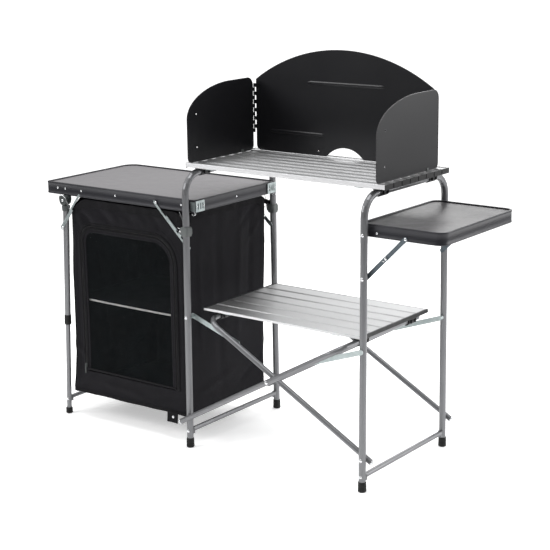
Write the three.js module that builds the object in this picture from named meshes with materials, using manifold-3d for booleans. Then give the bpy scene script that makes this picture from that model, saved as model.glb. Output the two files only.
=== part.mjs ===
// Folding camp kitchen table: two tube arches joined by a scissor frame, a cooking
// shelf with a windshield, a fabric cupboard under a side counter, and a drop-leaf side table.
// Units are millimetres, +Z is up, the front faces -Y, and the floor is z = 0.
import * as THREE from 'three';
import { mergeVertices } from 'three/addons/utils/BufferGeometryUtils.js';
import Module from 'manifold-3d';

const wasm = await Module();
wasm.setup();

// ---- driving dimensions -------------------------------------------------------------------

const GAP = 0.4; // running gap kept between neighbouring pieces

const LEG_RADIUS = 9.5;
const ARCH_SPACING = 588; // left arch stands at x = 0, right arch at x = ARCH_SPACING
const ARCH_TOP = 790; // centre line of the crossbars
const ARCH_BEND = 58;
const LEG_TOP_Y = 200;
const LEG_SPLAY = 8; // how much further out a leg stands at the floor
const FOOT_RADIUS = 11.5;
const FOOT_HEIGHT = 28;
const LEG_START = 6; // a leg ends this high, inside its foot

const RAIL_RADIUS = 7;
const RIGHT_RAIL_Z = 42;
const LEFT_RAIL_Z = 50;

const X_RADIUS = 7.75;
const X_PIVOT_Z = 88;
const X_SLOPE = 0.56; // rise over run of both scissor tubes when open
const X_CROSSBAR_INSET = 60; // from each arch to the nearer crossbar
const X_STUB = 22; // tube past its foot pivot
const X_BEND = 40;
const X_INNER_Y = 189.3;
const X_OUTER_Y = 225;

const LINK_WIDTH = 14;
const LINK_THICKNESS = 2;
const LINK_PIVOT_Z = 384;
const LINK_REACH = 158; // from an arch to the link's far rivet
const LINK_INNER_Y = 180.2;
const LINK_OUTER_Y = 215.5;

const TOP_SLEEVE_WALL = 2.9;
const LOWER_SLEEVE_WALL = 8;
const SLEEVE_LENGTH = 38;
const SLEEVE_Y = 120;

const LOWER_SHELF = { x0: 29, x1: 558, y0: -170, y1: 170, height: 9, slats: 6 };
const TOP_SHELF = { x0: -20, x1: 633, y0: -173, y1: 145, height: 15, slats: 8 };

const COUNTER = { x0: -554, x1: 21, halfDepth: 188, top: 717, height: 35, wall: 14, corner: 14 };
const SIDE_TABLE = { x0: 563, x1: 811, halfDepth: 187, top: 717, height: 33, wall: 12, corner: 26 };
const BOARD_THICKNESS = 15;
const BOARD_RECESS = 1.5;

const COUNTER_LEG_X = -499; // where a counter leg's centre line meets the floor
const COUNTER_LEG_LEAN = Math.atan(27 / 655); // the legs lean in towards the cupboard as they rise
const COUNTER_LEG_Y = 191;
const UPPER_TUBE_RADIUS = 9;
const UPPER_TUBE_START = 292;
const LOWER_TUBE_RADIUS = 7.25;
const LOWER_TUBE_TOP = 392;
const COUNTER_RAIL_Z = 50;
const KNUCKLE = { x0: -491, x1: -462.6, depth: 24, height: 28 };

const LEG_COLLAR = { base: 617, height: 26, wall: 4 }; // plastic collars that carry the counter's arch end
const BRACKET = { near: 146, far: 184, sheet: 2 }; // corner plates, placed by their distance from y = 0
const STRUT = { width: 16, thickness: 2 };
const OUTER_STRUT = { edgeX: -410, edgeZ: 697, legX: -475, legZ: 588 };
const INNER_STRUT = { edgeX: -118, edgeZ: 698, legX: -2, legZ: 585 };

const CUPBOARD = { x0: -462, x1: -14, y0: -186, y1: 178, z0: 78, z1: 678, cloth: 3 };
const DOOR = { x0: -420, x1: -60, z0: 150, z1: 598, smallCorner: 45, largeCorner: 80 };
const DOOR_GAP = 1;
const FLOOR_BOARD = 12;
const MIDDLE_SHELF_Z = 370;
const MIDDLE_SHELF = 4;

const SIDE_HINGE_Z = 690;
const BRACE_ARM = 114; // from the side table's hinge to either end of its braces
const BRACE_WIDTH = 12;
const BRACE_THICKNESS = 1.2;

const SHIELD = {
  x0: 0, x1: 610, hingeY: 118, plateY: 121, sheet: 1.6,
  shoulder: 1022, peak: 1116, corner: 12,
};
const WING = {
  front: -184, frontTop: 938, top: 1028, curveDepth: 198,
  holeHeights: [858, 950], holeInset: 40, holeRadius: 3,
};
const HINGE = { z0: 868, z1: 1010, radius: 2.4 };
const HOSE_CUT = { x: 313, halfWidth: 62, height: 28 };

const TUBE_SIDES = 20;
const SMALL_SIDES = 16;
const BEND_STEPS = 6;

// ---- colours and finishes --------------------------------------------------------------------

const FINISH = {
  tube: { color: 0x8f9094, roughness: 0.38, metalness: 0.85 },
  slat: { color: 0xb4b5b8, roughness: 0.35, metalness: 0.85 },
  zinc: { color: 0xc3cad3, roughness: 0.3, metalness: 0.9 },
  black: { color: 0x17171a, roughness: 0.6, metalness: 0 },
  grey: { color: 0x6d716d, roughness: 0.6, metalness: 0 },
  board: { color: 0x9a9799, roughness: 0.45, metalness: 0 },
  edge: { color: 0x3a3a40, roughness: 0.4, metalness: 0.6 },
  shield: { color: 0x1c1c20, roughness: 0.45, metalness: 0.3 },
  cloth: { color: 0x262428, roughness: 0.95, metalness: 0 },
};

// ---- helpers -------------------------------------------------------------------------------

const table = new THREE.Group();
table.position.x = -(COUNTER.x0 + SIDE_TABLE.x1) / 2;

function piece(name, finish, geometry) {
  const mesh = new THREE.Mesh(geometry, new THREE.MeshStandardMaterial(FINISH[finish]));
  mesh.name = name;
  table.add(mesh);
  return mesh;
}

function toSolid(geometry) {
  const bare = geometry.clone();
  bare.deleteAttribute('normal');
  bare.deleteAttribute('uv');
  const merged = mergeVertices(bare, 1e-4);
  return new wasm.Manifold(new wasm.Mesh({
    numProp: 3,
    vertProperties: new Float32Array(merged.attributes.position.array),
    triVerts: new Uint32Array(merged.index.array),
  }));
}

function toGeometry(solid) {
  const mesh = solid.getMesh();
  const geometry = new THREE.BufferGeometry();
  geometry.setAttribute('position', new THREE.BufferAttribute(mesh.vertProperties, 3));
  geometry.setIndex(new THREE.BufferAttribute(mesh.triVerts, 1));
  return geometry;
}

function join(...geometries) {
  const solids = geometries.map(toSolid);
  return toGeometry(solids.reduce((whole, next) => whole.add(next)));
}

function cut(geometry, ...tools) {
  return toGeometry(tools.map(toSolid).reduce((whole, tool) => whole.subtract(tool), toSolid(geometry)));
}

function box(x0, x1, y0, y1, z0, z1) {
  const geometry = new THREE.BoxGeometry(x1 - x0, y1 - y0, z1 - z0);
  return geometry.translate((x0 + x1) / 2, (y0 + y1) / 2, (z0 + z1) / 2);
}

// A rod along Y from y0 to y1.
function rodY(x, z, radius, y0, y1, sides = SMALL_SIDES) {
  const geometry = new THREE.CylinderGeometry(radius, radius, y1 - y0, sides);
  return geometry.translate(x, (y0 + y1) / 2, z);
}

// A rod along Z from z0 to z1.
function rodZ(x, y, radius, z0, z1, sides = SMALL_SIDES) {
  const geometry = new THREE.CylinderGeometry(radius, radius, z1 - z0, sides);
  return geometry.rotateX(Math.PI / 2).translate(x, y, (z0 + z1) / 2);
}

// A ring about its own Y axis, its lower face at 0.
function ring(inner, outer, length, sides = TUBE_SIDES) {
  const profile = [
    [inner, 0], [outer, 0], [outer, length], [inner, length], [inner, 0],
  ].map(([r, h]) => new THREE.Vector2(r, h));
  return new THREE.LatheGeometry(profile, sides);
}

// A ring about a vertical axis, from z0 up.
function ringZ(x, y, inner, outer, z0, length) {
  return ring(inner, outer, length).rotateX(Math.PI / 2).translate(x, y, z0);
}

// A sleeve about a line along Y, centred at y.
function ringY(x, y, z, inner, outer, length) {
  return ring(inner, outer, length).translate(x, y - length / 2, z);
}

// Straight stretches joined by round bends, with stations only where the tube bends.
class BentRoute extends THREE.Curve {
  constructor(corners, radius) {
    super();
    this.stations = [];
    const last = corners.length - 1;
    const heading = (a, b) => b.clone().sub(a).normalize();
    this.stations.push([corners[0], heading(corners[0], corners[1])]);
    for (let i = 1; i < last; i += 1) {
      const before = heading(corners[i - 1], corners[i]);
      const after = heading(corners[i], corners[i + 1]);
      const turn = before.angleTo(after);
      const reach = radius * Math.tan(turn / 2);
      const inward = after.clone().sub(before).normalize();
      const middle = corners[i].clone().addScaledVector(inward, radius / Math.cos(turn / 2));
      const start = corners[i].clone().addScaledVector(before, -reach);
      const axis = before.clone().cross(after).normalize();
      for (let step = 0; step <= BEND_STEPS; step += 1) {
        const angle = (turn * step) / BEND_STEPS;
        const place = start.clone().sub(middle).applyAxisAngle(axis, angle).add(middle);
        this.stations.push([place, before.clone().applyAxisAngle(axis, angle)]);
      }
    }
    this.stations.push([corners[last], heading(corners[last - 1], corners[last])]);
  }

  station(u) {
    return this.stations[Math.round(u * (this.stations.length - 1))];
  }

  getPointAt(u) {
    return this.station(u)[0].clone();
  }

  getTangentAt(u) {
    return this.station(u)[1].clone();
  }
}

function circle(radius, sides) {
  const points = [];
  for (let i = 0; i < sides; i += 1) {
    const angle = (2 * Math.PI * i) / sides;
    points.push(new THREE.Vector2(radius * Math.cos(angle), radius * Math.sin(angle)));
  }
  return new THREE.Shape(points);
}

function bentTube(corners, bend, radius, sides) {
  const extrudePath = new BentRoute(corners.map((c) => new THREE.Vector3(...c)), bend);
  const steps = extrudePath.stations.length - 1;
  return new THREE.ExtrudeGeometry(circle(radius, sides), { extrudePath, steps });
}

function roundedRectangle(shape, x0, x1, y0, y1, radius) {
  shape.moveTo(x0 + radius, y0);
  shape.absarc(x1 - radius, y0 + radius, radius, -Math.PI / 2, 0);
  shape.absarc(x1 - radius, y1 - radius, radius, 0, Math.PI / 2);
  shape.absarc(x0 + radius, y1 - radius, radius, Math.PI / 2, Math.PI);
  shape.absarc(x0 + radius, y0 + radius, radius, Math.PI, 1.5 * Math.PI);
  return shape;
}

function plate(shape, thickness, curveSegments = 5) {
  return new THREE.ExtrudeGeometry(shape, { depth: thickness, bevelEnabled: false, curveSegments });
}

// A shape drawn in x and z, made `thickness` deep from y0 towards +Y.
function plateXZ(shape, y0, thickness, curveSegments) {
  return plate(shape, thickness, curveSegments).rotateX(Math.PI / 2).translate(0, y0 + thickness, 0);
}

// A shape drawn in y and z, made `thickness` wide from x0 towards +X.
function plateYZ(shape, x0, thickness, curveSegments) {
  return plate(shape, thickness, curveSegments)
    .rotateX(Math.PI / 2)
    .rotateZ(Math.PI / 2)
    .translate(x0, 0, 0);
}

// A flat bar with round ends between two pivots drawn in x and z, lying at one y.
function linkBar(from, to, y, width, thickness) {
  const length = Math.hypot(to[0] - from[0], to[1] - from[1]);
  const shape = new THREE.Shape();
  shape.moveTo(0, -width / 2);
  shape.absarc(length, 0, width / 2, -Math.PI / 2, Math.PI / 2);
  shape.absarc(0, 0, width / 2, Math.PI / 2, 1.5 * Math.PI);
  const angle = Math.atan2(to[1] - from[1], to[0] - from[0]);
  return plateXZ(shape, y - thickness / 2, thickness, 6)
    .rotateY(-angle)
    .translate(from[0], 0, from[1]);
}

// The y of an arch leg's centre line at height z, on the side given by its sign.
function legY(side, z) {
  return side * (LEG_TOP_Y + LEG_SPLAY * (1 - z / ARCH_TOP));
}

const SIDES = [['front', -1], ['rear', 1]];

// ---- arches, feet and rails --------------------------------------------------------------------

function arch(name, x) {
  const corners = [
    [x, legY(-1, LEG_START), LEG_START],
    [x, -LEG_TOP_Y, ARCH_TOP],
    [x, LEG_TOP_Y, ARCH_TOP],
    [x, legY(1, LEG_START), LEG_START],
  ];
  piece(`${name}_arch`, 'tube', bentTube(corners, ARCH_BEND, LEG_RADIUS, TUBE_SIDES));
}

function footCup(x, y, tubeRadius, outerRadius, height, tubeStart) {
  const bore = tubeRadius + GAP;
  const soleThickness = tubeStart - GAP;
  const profile = [
    [0, 0], [outerRadius - 1, 0], [outerRadius, 1.5], [outerRadius, height], [bore, height],
    [bore, soleThickness], [0, soleThickness],
  ].map(([r, h]) => new THREE.Vector2(r, h));
  return new THREE.LatheGeometry(profile, TUBE_SIDES).rotateX(Math.PI / 2).translate(x, y, 0);
}

function archFeet(name, x) {
  for (const [word, side] of SIDES) {
    const y = legY(side, FOOT_HEIGHT / 2);
    piece(`${name}_foot_${word}`, 'black', footCup(x, y, LEG_RADIUS, FOOT_RADIUS, FOOT_HEIGHT, LEG_START));
  }
}

// A round rail between two legs, with a flattened tab against each leg.
function crossRail(x, z, end, radius) {
  const tabDepth = 5;
  const tabDrop = 12;
  const half = radius - 1;
  return join(
    rodY(x, z, radius, -end + 1, end - 1),
    box(x - half, x + half, -end, -end + tabDepth, z - tabDrop, z + radius),
    box(x - half, x + half, end - tabDepth, end, z - tabDrop, z + radius),
  );
}

function archRail(name, x, z) {
  const legFace = legY(1, z) - LEG_RADIUS;
  piece(`${name}_rail`, 'tube', crossRail(x, z, legFace - GAP, RAIL_RADIUS));
}

// ---- scissor frame -----------------------------------------------------------------------------

const xRise = (run) => X_PIVOT_Z + X_SLOPE * run;
const CROSSBAR_Z = xRise(ARCH_SPACING - X_CROSSBAR_INSET);

function crossbarX(towardsRight) {
  return towardsRight ? ARCH_SPACING - X_CROSSBAR_INSET : X_CROSSBAR_INSET;
}

// One U-shaped scissor tube. The outer one rises to the right and lies outside the front legs;
// the inner one rises to the left and lies outside the rear legs.
function scissorTube(name, towardsRight) {
  const frontY = towardsRight ? -X_OUTER_Y : -X_INNER_Y;
  const rearY = towardsRight ? X_INNER_Y : X_OUTER_Y;
  const footX = towardsRight ? 0 : ARCH_SPACING;
  const away = towardsRight ? -1 : 1;
  const slopeAngle = Math.atan(X_SLOPE);
  const stub = [footX + away * X_STUB * Math.cos(slopeAngle), X_PIVOT_Z - X_STUB * Math.sin(slopeAngle)];
  const top = [crossbarX(towardsRight), CROSSBAR_Z];
  const corners = [
    [stub[0], frontY, stub[1]],
    [top[0], frontY, top[1]],
    [top[0], rearY, top[1]],
    [stub[0], rearY, stub[1]],
  ];
  piece(name, 'tube', bentTube(corners, X_BEND, X_RADIUS, SMALL_SIDES));
}

function sleeves(name, x, z, tubeRadius, wall, finish) {
  for (const [word, side] of SIDES) {
    const inner = tubeRadius + GAP;
    const geometry = ringY(x, side * SLEEVE_Y, z, inner, inner + wall, SLEEVE_LENGTH);
    piece(`${name}_saddle_${word}`, finish, geometry);
  }
}

// A locking link from an arch leg to the scissor tube that rises towards that arch.
function lockLink(arm, word, side) {
  const fromLeft = arm === 'left';
  const legX = fromLeft ? 0 : ARCH_SPACING;
  const farX = fromLeft ? LINK_REACH : ARCH_SPACING - LINK_REACH;
  const farZ = xRise(ARCH_SPACING - LINK_REACH);
  const inside = fromLeft === (side < 0);
  const y = side * (inside ? LINK_INNER_Y : LINK_OUTER_Y);
  const bar = linkBar([legX, LINK_PIVOT_Z], [farX, farZ], y, LINK_WIDTH, LINK_THICKNESS);
  if (!inside) {
    piece(`${arm}_link_${word}`, 'zinc', bar);
    return;
  }
  const legFace = Math.abs(legY(side, LINK_PIVOT_Z)) - LEG_RADIUS - GAP;
  const spacerEnds = [side * LINK_INNER_Y, side * legFace].sort((a, b) => a - b);
  const spacer = rodY(legX, LINK_PIVOT_Z, LINK_WIDTH / 2 - 1, ...spacerEnds);
  piece(`${arm}_link_${word}`, 'zinc', join(bar, spacer));
}

// ---- slatted shelves -----------------------------------------------------------------------------

function slattedShelf(name, shelf, underside) {
  const slatGap = 2;
  const batten = 2.5;
  const battenInset = 70;
  const battenWidth = 24;
  const pitch = (shelf.y1 - shelf.y0 + slatGap) / shelf.slats;
  const top = underside + shelf.height;
  const parts = [];
  for (let i = 0; i < shelf.slats; i += 1) {
    const y = shelf.y0 + i * pitch;
    parts.push(box(shelf.x0, shelf.x1, y, y + pitch - slatGap, underside + batten - 0.5, top));
  }
  for (const x of [shelf.x0 + battenInset, shelf.x1 - battenInset - battenWidth]) {
    parts.push(box(x, x + battenWidth, shelf.y0 + 2, shelf.y1 - 2, underside, underside + batten));
  }
  piece(name, 'slat', join(...parts));
}

// ---- counter and cupboard ------------------------------------------------------------------------

// A rectangular ring of edge profile with rounded outer corners.
function edgeFrame(name, top) {
  const outer = new THREE.Shape();
  roundedRectangle(outer, top.x0, top.x1, -top.halfDepth, top.halfDepth, top.corner);
  const inner = new THREE.Path();
  const cornerInside = 4;
  const insideY = top.halfDepth - top.wall;
  roundedRectangle(inner, top.x0 + top.wall, top.x1 - top.wall, -insideY, insideY, cornerInside);
  outer.holes.push(inner);
  piece(`${name}_edge`, 'edge', plate(outer, top.height).translate(0, 0, top.top - top.height));
}

function board(name, top) {
  const shape = new THREE.Shape();
  const inset = top.wall + GAP;
  const corner = 5;
  roundedRectangle(
    shape, top.x0 + inset, top.x1 - inset, -top.halfDepth + inset, top.halfDepth - inset, corner,
  );
  const z0 = top.top - BOARD_RECESS - BOARD_THICKNESS;
  piece(`${name}_board`, 'board', plate(shape, BOARD_THICKNESS).translate(0, 0, z0));
}

const COUNTER_UNDERSIDE = COUNTER.top - COUNTER.height;

// Zinc corner plates that hang the counter on the left arch.
function counterBrackets() {
  const x0 = COUNTER.x1 + GAP;
  for (const [word, side] of SIDES) {
    const [y0, y1] = [side * BRACKET.near, side * BRACKET.far].sort((a, b) => a - b);
    const plateOnEnd = box(x0, x0 + BRACKET.sheet, y0, y1, COUNTER_UNDERSIDE + 1, COUNTER.top - 3);
    piece(`counter_bracket_${word}`, 'zinc', plateOnEnd);
  }
}

function collars() {
  const { base, height, wall } = LEG_COLLAR;
  const slantAllowance = 0.2; // the leg leans a little inside its upright collar
  const bore = LEG_RADIUS + GAP + slantAllowance;
  for (const [word, side] of SIDES) {
    const y = legY(side, base + height / 2);
    piece(`leg_collar_${word}`, 'grey', ringZ(0, y, bore, bore + wall, base, height));
  }
}

// Where a leaning counter leg's centre line stands at a height.
function counterLegX(z) {
  return COUNTER_LEG_X + z * Math.tan(COUNTER_LEG_LEAN);
}

// Leans a piece built upright on the counter leg's foot point.
function leaned(geometry) {
  return geometry.translate(-COUNTER_LEG_X, 0, 0).rotateY(COUNTER_LEG_LEAN).translate(COUNTER_LEG_X, 0, 0);
}

function counterLegs() {
  const knuckleBase = COUNTER_UNDERSIDE - GAP - KNUCKLE.height;
  const bore = LOWER_TUBE_RADIUS + GAP;
  const leanAllowance = 0.6; // a leaning end reaches this much higher and lower on its two sides
  const footHeight = 18;
  const footWall = 2.6;
  for (const [word, side] of SIDES) {
    const y = side * COUNTER_LEG_Y;
    const knuckle = box(
      KNUCKLE.x0, KNUCKLE.x1, y - KNUCKLE.depth / 2, y + KNUCKLE.depth / 2,
      knuckleBase, COUNTER_UNDERSIDE - GAP,
    );
    piece(`counter_knuckle_${word}`, 'black', knuckle);
    const upperLength = knuckleBase - GAP - leanAllowance - UPPER_TUBE_START;
    const upper = ringZ(COUNTER_LEG_X, y, bore, UPPER_TUBE_RADIUS, UPPER_TUBE_START, upperLength);
    piece(`counter_leg_${word}`, 'tube', leaned(upper));
    const lower = rodZ(COUNTER_LEG_X, y, LOWER_TUBE_RADIUS, LEG_START + leanAllowance, LOWER_TUBE_TOP);
    piece(`counter_tube_${word}`, 'tube', leaned(lower));
    const socket = LOWER_TUBE_RADIUS + leanAllowance;
    const footX = counterLegX(footHeight / 2);
    const foot = footCup(footX, y, socket, socket + footWall, footHeight, LEG_START);
    piece(`counter_foot_${word}`, 'black', foot);
  }
  const railEnd = COUNTER_LEG_Y - LOWER_TUBE_RADIUS - GAP;
  const rail = crossRail(counterLegX(COUNTER_RAIL_Z), COUNTER_RAIL_Z, railEnd, RAIL_RADIUS - 1);
  piece('counter_rail', 'tube', rail);
}

// A flat strut between two points, its width standing in the x-z plane, its run slanting in y.
function slantedStrut(from, to) {
  const { width, thickness } = STRUT;
  const a = new THREE.Vector3(...from);
  const b = new THREE.Vector3(...to);
  const along = b.clone().sub(a);
  const length = along.length();
  along.normalize();
  const deep = new THREE.Vector3(0, 1, 0).addScaledVector(along, -along.y).normalize();
  const wide = deep.clone().cross(along);
  const frame = new THREE.Matrix4().makeBasis(along, wide, deep).setPosition(a);
  const shape = new THREE.Shape();
  shape.moveTo(0, -width / 2);
  shape.absarc(length, 0, width / 2, -Math.PI / 2, Math.PI / 2);
  shape.absarc(0, 0, width / 2, Math.PI / 2, 1.5 * Math.PI);
  return plate(shape, thickness, 6).translate(0, 0, -thickness / 2).applyMatrix4(frame);
}

function counterStruts() {
  const clearance = 0.8 + STRUT.thickness / 2; // room for the slant of a strut beside a leg or the edge
  const onEdge = COUNTER.halfDepth + clearance + GAP;
  const steeperSlant = 1.2; // the outer struts slant more, so they stand further off their legs
  const onLeg = COUNTER_LEG_Y + UPPER_TUBE_RADIUS + clearance + steeperSlant;
  const onArch = legY(1, INNER_STRUT.legZ) - LEG_RADIUS - clearance; // on the legs' inner faces
  const ends = [['outer', OUTER_STRUT, onLeg], ['inner', INNER_STRUT, onArch]];
  for (const [name, { edgeX, edgeZ, legX, legZ }, onTube] of ends) {
    for (const [word, side] of SIDES) {
      const strut = slantedStrut([edgeX, side * onEdge, edgeZ], [legX, side * onTube, legZ]);
      piece(`${name}_strut_${word}`, 'zinc', strut);
    }
  }
}

function doorOutline(target, grow) {
  const x0 = DOOR.x0 - grow;
  const x1 = DOOR.x1 + grow;
  const z0 = DOOR.z0 - grow;
  const z1 = DOOR.z1 + grow;
  const small = DOOR.smallCorner + grow;
  const large = DOOR.largeCorner + grow;
  target.moveTo(x0, z0);
  target.lineTo(x1, z0);
  target.absarc(x1 - large, z1 - large, large, 0, Math.PI / 2);
  target.absarc(x0 + small, z1 - small, small, Math.PI / 2, Math.PI);
  target.closePath();
  return target;
}

function cupboard() {
  const { x0, x1, y0, y1, z0, z1, cloth } = CUPBOARD;
  const front = new THREE.Shape();
  front.moveTo(x0, z0);
  front.lineTo(x1, z0);
  front.lineTo(x1, z1);
  front.lineTo(x0, z1);
  front.closePath();
  front.holes.push(doorOutline(new THREE.Path(), DOOR_GAP));
  piece('cupboard_front', 'cloth', plateXZ(front, y0, cloth));
  piece('cupboard_door', 'cloth', plateXZ(doorOutline(new THREE.Shape(), 0), y0, cloth));
  const backOfFront = y0 + cloth + GAP;
  const frontOfBack = y1 - cloth - GAP;
  piece('cupboard_left', 'cloth', box(x0, x0 + cloth, backOfFront, frontOfBack, z0, z1));
  piece('cupboard_right', 'cloth', box(x1 - cloth, x1, backOfFront, frontOfBack, z0, z1));
  piece('cupboard_back', 'cloth', box(x0, x1, y1 - cloth, y1, z0, z1));
  const inside = [x0 + cloth + GAP, x1 - cloth - GAP, backOfFront, frontOfBack];
  piece('cupboard_floor', 'cloth', box(...inside, z0, z0 + FLOOR_BOARD));
  const shelf = box(...inside, MIDDLE_SHELF_Z, MIDDLE_SHELF_Z + MIDDLE_SHELF);
  piece('cupboard_shelf', 'cloth', shelf);
}

// ---- side table ----------------------------------------------------------------------------------

function sideBraces() {
  const reach = BRACE_ARM;
  const legPivot = [ARCH_SPACING, SIDE_HINGE_Z - reach];
  const tablePivot = [ARCH_SPACING + reach, SIDE_HINGE_Z];
  const middle = [ARCH_SPACING + reach / 2, SIDE_HINGE_Z - reach / 2];
  const upperY = SIDE_TABLE.halfDepth + GAP + BRACE_THICKNESS / 2;
  const lowerY = upperY + BRACE_THICKNESS + GAP;
  for (const [word, side] of SIDES) {
    const upper = linkBar(tablePivot, middle, side * upperY, BRACE_WIDTH, BRACE_THICKNESS);
    piece(`upper_brace_${word}`, 'zinc', upper);
    const lower = linkBar(legPivot, middle, side * lowerY, BRACE_WIDTH, BRACE_THICKNESS);
    piece(`lower_brace_${word}`, 'zinc', lower);
  }
}

// ---- windshield ----------------------------------------------------------------------------------

const TOP_SHELF_UNDERSIDE = ARCH_TOP + LEG_RADIUS + GAP + TOP_SLEEVE_WALL + GAP;
const SHIELD_BASE = TOP_SHELF_UNDERSIDE + TOP_SHELF.height + GAP;

function shieldBack() {
  const { x0, x1, plateY, sheet, shoulder, peak, corner, hingeY } = SHIELD;
  const inset = 3;
  const left = x0 + inset;
  const right = x1 - inset;
  const half = (right - left) / 2;
  const rise = peak - shoulder;
  const radius = (half * half + rise * rise) / (2 * rise);
  const sweep = Math.asin(half / radius);
  const cutRise = HOSE_CUT.height;
  const cutRadius = (HOSE_CUT.halfWidth ** 2 + cutRise ** 2) / (2 * cutRise);
  const cutSweep = Math.asin(HOSE_CUT.halfWidth / cutRadius);
  const shape = new THREE.Shape();
  shape.moveTo(left + corner, SHIELD_BASE);
  shape.absarc(
    HOSE_CUT.x, SHIELD_BASE + cutRise - cutRadius, cutRadius,
    Math.PI / 2 + cutSweep, Math.PI / 2 - cutSweep, true,
  );
  shape.absarc(right - corner, SHIELD_BASE + corner, corner, -Math.PI / 2, 0);
  const middle = (left + right) / 2;
  shape.absarc(middle, peak - radius, radius, Math.PI / 2 - sweep, Math.PI / 2 + sweep);
  shape.absarc(left + corner, SHIELD_BASE + corner, corner, Math.PI, 1.5 * Math.PI);
  const parts = [plateXZ(shape, plateY - sheet / 2, sheet, 14)];
  for (const x of [x0, x1]) {
    const inward = x === x0 ? 1 : -1;
    const leaf = [x - inward * 0.3, x + inward * 10].sort((a, b) => a - b);
    parts.push(rodZ(x, hingeY, HINGE.radius, HINGE.z0, HINGE.z1, 10));
    parts.push(box(leaf[0], leaf[1], hingeY + 1.4, plateY - sheet / 2 + 0.4, HINGE.z0, HINGE.z1));
  }
  piece('shield_back', 'shield', join(...parts));
}

function shieldWing(name, x) {
  const { hingeY, sheet, corner } = SHIELD;
  const rear = hingeY - HINGE.radius - GAP;
  const curveHeight = WING.top - WING.frontTop;
  const shape = new THREE.Shape();
  shape.moveTo(WING.front + corner, SHIELD_BASE);
  shape.absarc(rear - corner, SHIELD_BASE + corner, corner, -Math.PI / 2, 0);
  shape.absarc(rear - corner, WING.top - corner, corner, 0, Math.PI / 2);
  shape.absellipse(
    WING.front + WING.curveDepth, WING.frontTop, WING.curveDepth, curveHeight, Math.PI / 2, Math.PI,
  );
  shape.absarc(WING.front + corner, SHIELD_BASE + corner, corner, Math.PI, 1.5 * Math.PI);
  for (const z of WING.holeHeights) {
    const hole = new THREE.Path();
    hole.absarc(WING.front + WING.holeInset, z, WING.holeRadius, 0, 2 * Math.PI);
    shape.holes.push(hole);
  }
  piece(name, 'shield', plateYZ(shape, x - sheet / 2, sheet, 8));
}

// ---- the whole table -----------------------------------------------------------------------------

arch('left', 0);
archFeet('left', 0);
archRail('left', 0, LEFT_RAIL_Z);
sleeves('left', 0, ARCH_TOP, LEG_RADIUS, TOP_SLEEVE_WALL, 'black');
arch('right', ARCH_SPACING);
archFeet('right', ARCH_SPACING);
archRail('right', ARCH_SPACING, RIGHT_RAIL_Z);
sleeves('right', ARCH_SPACING, ARCH_TOP, LEG_RADIUS, TOP_SLEEVE_WALL, 'black');

scissorTube('outer_scissor', true);
sleeves('outer', crossbarX(true), CROSSBAR_Z, X_RADIUS, LOWER_SLEEVE_WALL, 'black');
scissorTube('inner_scissor', false);
sleeves('inner', crossbarX(false), CROSSBAR_Z, X_RADIUS, LOWER_SLEEVE_WALL, 'black');
for (const arm of ['left', 'right']) {
  for (const [word, side] of SIDES) {
    lockLink(arm, word, side);
  }
}

slattedShelf('lower_shelf', LOWER_SHELF, CROSSBAR_Z + X_RADIUS + GAP + LOWER_SLEEVE_WALL + GAP);
slattedShelf('top_shelf', TOP_SHELF, TOP_SHELF_UNDERSIDE);

edgeFrame('counter', COUNTER);
board('counter', COUNTER);
counterBrackets();
collars();
counterLegs();
counterStruts();
cupboard();

edgeFrame('side_table', SIDE_TABLE);
board('side_table', SIDE_TABLE);
sideBraces();

shieldBack();
shieldWing('shield_wing_left', SHIELD.x0);
shieldWing('shield_wing_right', SHIELD.x1);

export default table;
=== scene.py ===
# Looks of the folding camp kitchen table: a tube frame with two slatted shelves, a windshield,
# a fabric cupboard under a side counter, and a drop-leaf side table. Metres, +Z up, front faces -Y.
import math

import bmesh
import bpy
from mathutils import Matrix, Vector, noise


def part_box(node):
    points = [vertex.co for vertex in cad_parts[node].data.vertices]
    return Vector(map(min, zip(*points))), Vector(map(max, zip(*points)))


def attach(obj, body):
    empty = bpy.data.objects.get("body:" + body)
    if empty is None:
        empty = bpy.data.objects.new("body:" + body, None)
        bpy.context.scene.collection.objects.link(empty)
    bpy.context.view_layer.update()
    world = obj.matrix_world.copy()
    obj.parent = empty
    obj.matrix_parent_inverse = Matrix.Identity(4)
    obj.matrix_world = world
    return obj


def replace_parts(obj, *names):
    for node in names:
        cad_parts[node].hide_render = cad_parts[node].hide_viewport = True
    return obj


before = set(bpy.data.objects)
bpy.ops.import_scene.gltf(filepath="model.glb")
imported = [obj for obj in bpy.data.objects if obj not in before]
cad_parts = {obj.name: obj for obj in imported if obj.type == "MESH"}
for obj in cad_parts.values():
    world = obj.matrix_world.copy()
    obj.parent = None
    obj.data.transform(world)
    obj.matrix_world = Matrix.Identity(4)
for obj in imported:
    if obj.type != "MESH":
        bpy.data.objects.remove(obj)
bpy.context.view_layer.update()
scene = bpy.context.scene

MM = 0.001
SIDES = (("front", -1), ("rear", 1))


def low(node):
    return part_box(node)[0]


def high(node):
    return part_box(node)[1]


def middle(node):
    return (low(node) + high(node)) / 2


LEFT_X = middle("left_arch").x
RIGHT_X = middle("right_arch").x
TUBE = (high("left_arch").x - low("left_arch").x) / 2
CROSSBAR_Z = high("left_arch").z - TUBE
SCISSOR_PIVOT_Z = 88 * MM
LINK_PIVOT_Z = 384 * MM
SCISSOR_SLOPE = 0.56
SCISSOR_TUBE = 7.75 * MM


# ---- materials ---------------------------------------------------------------------------------


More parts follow.
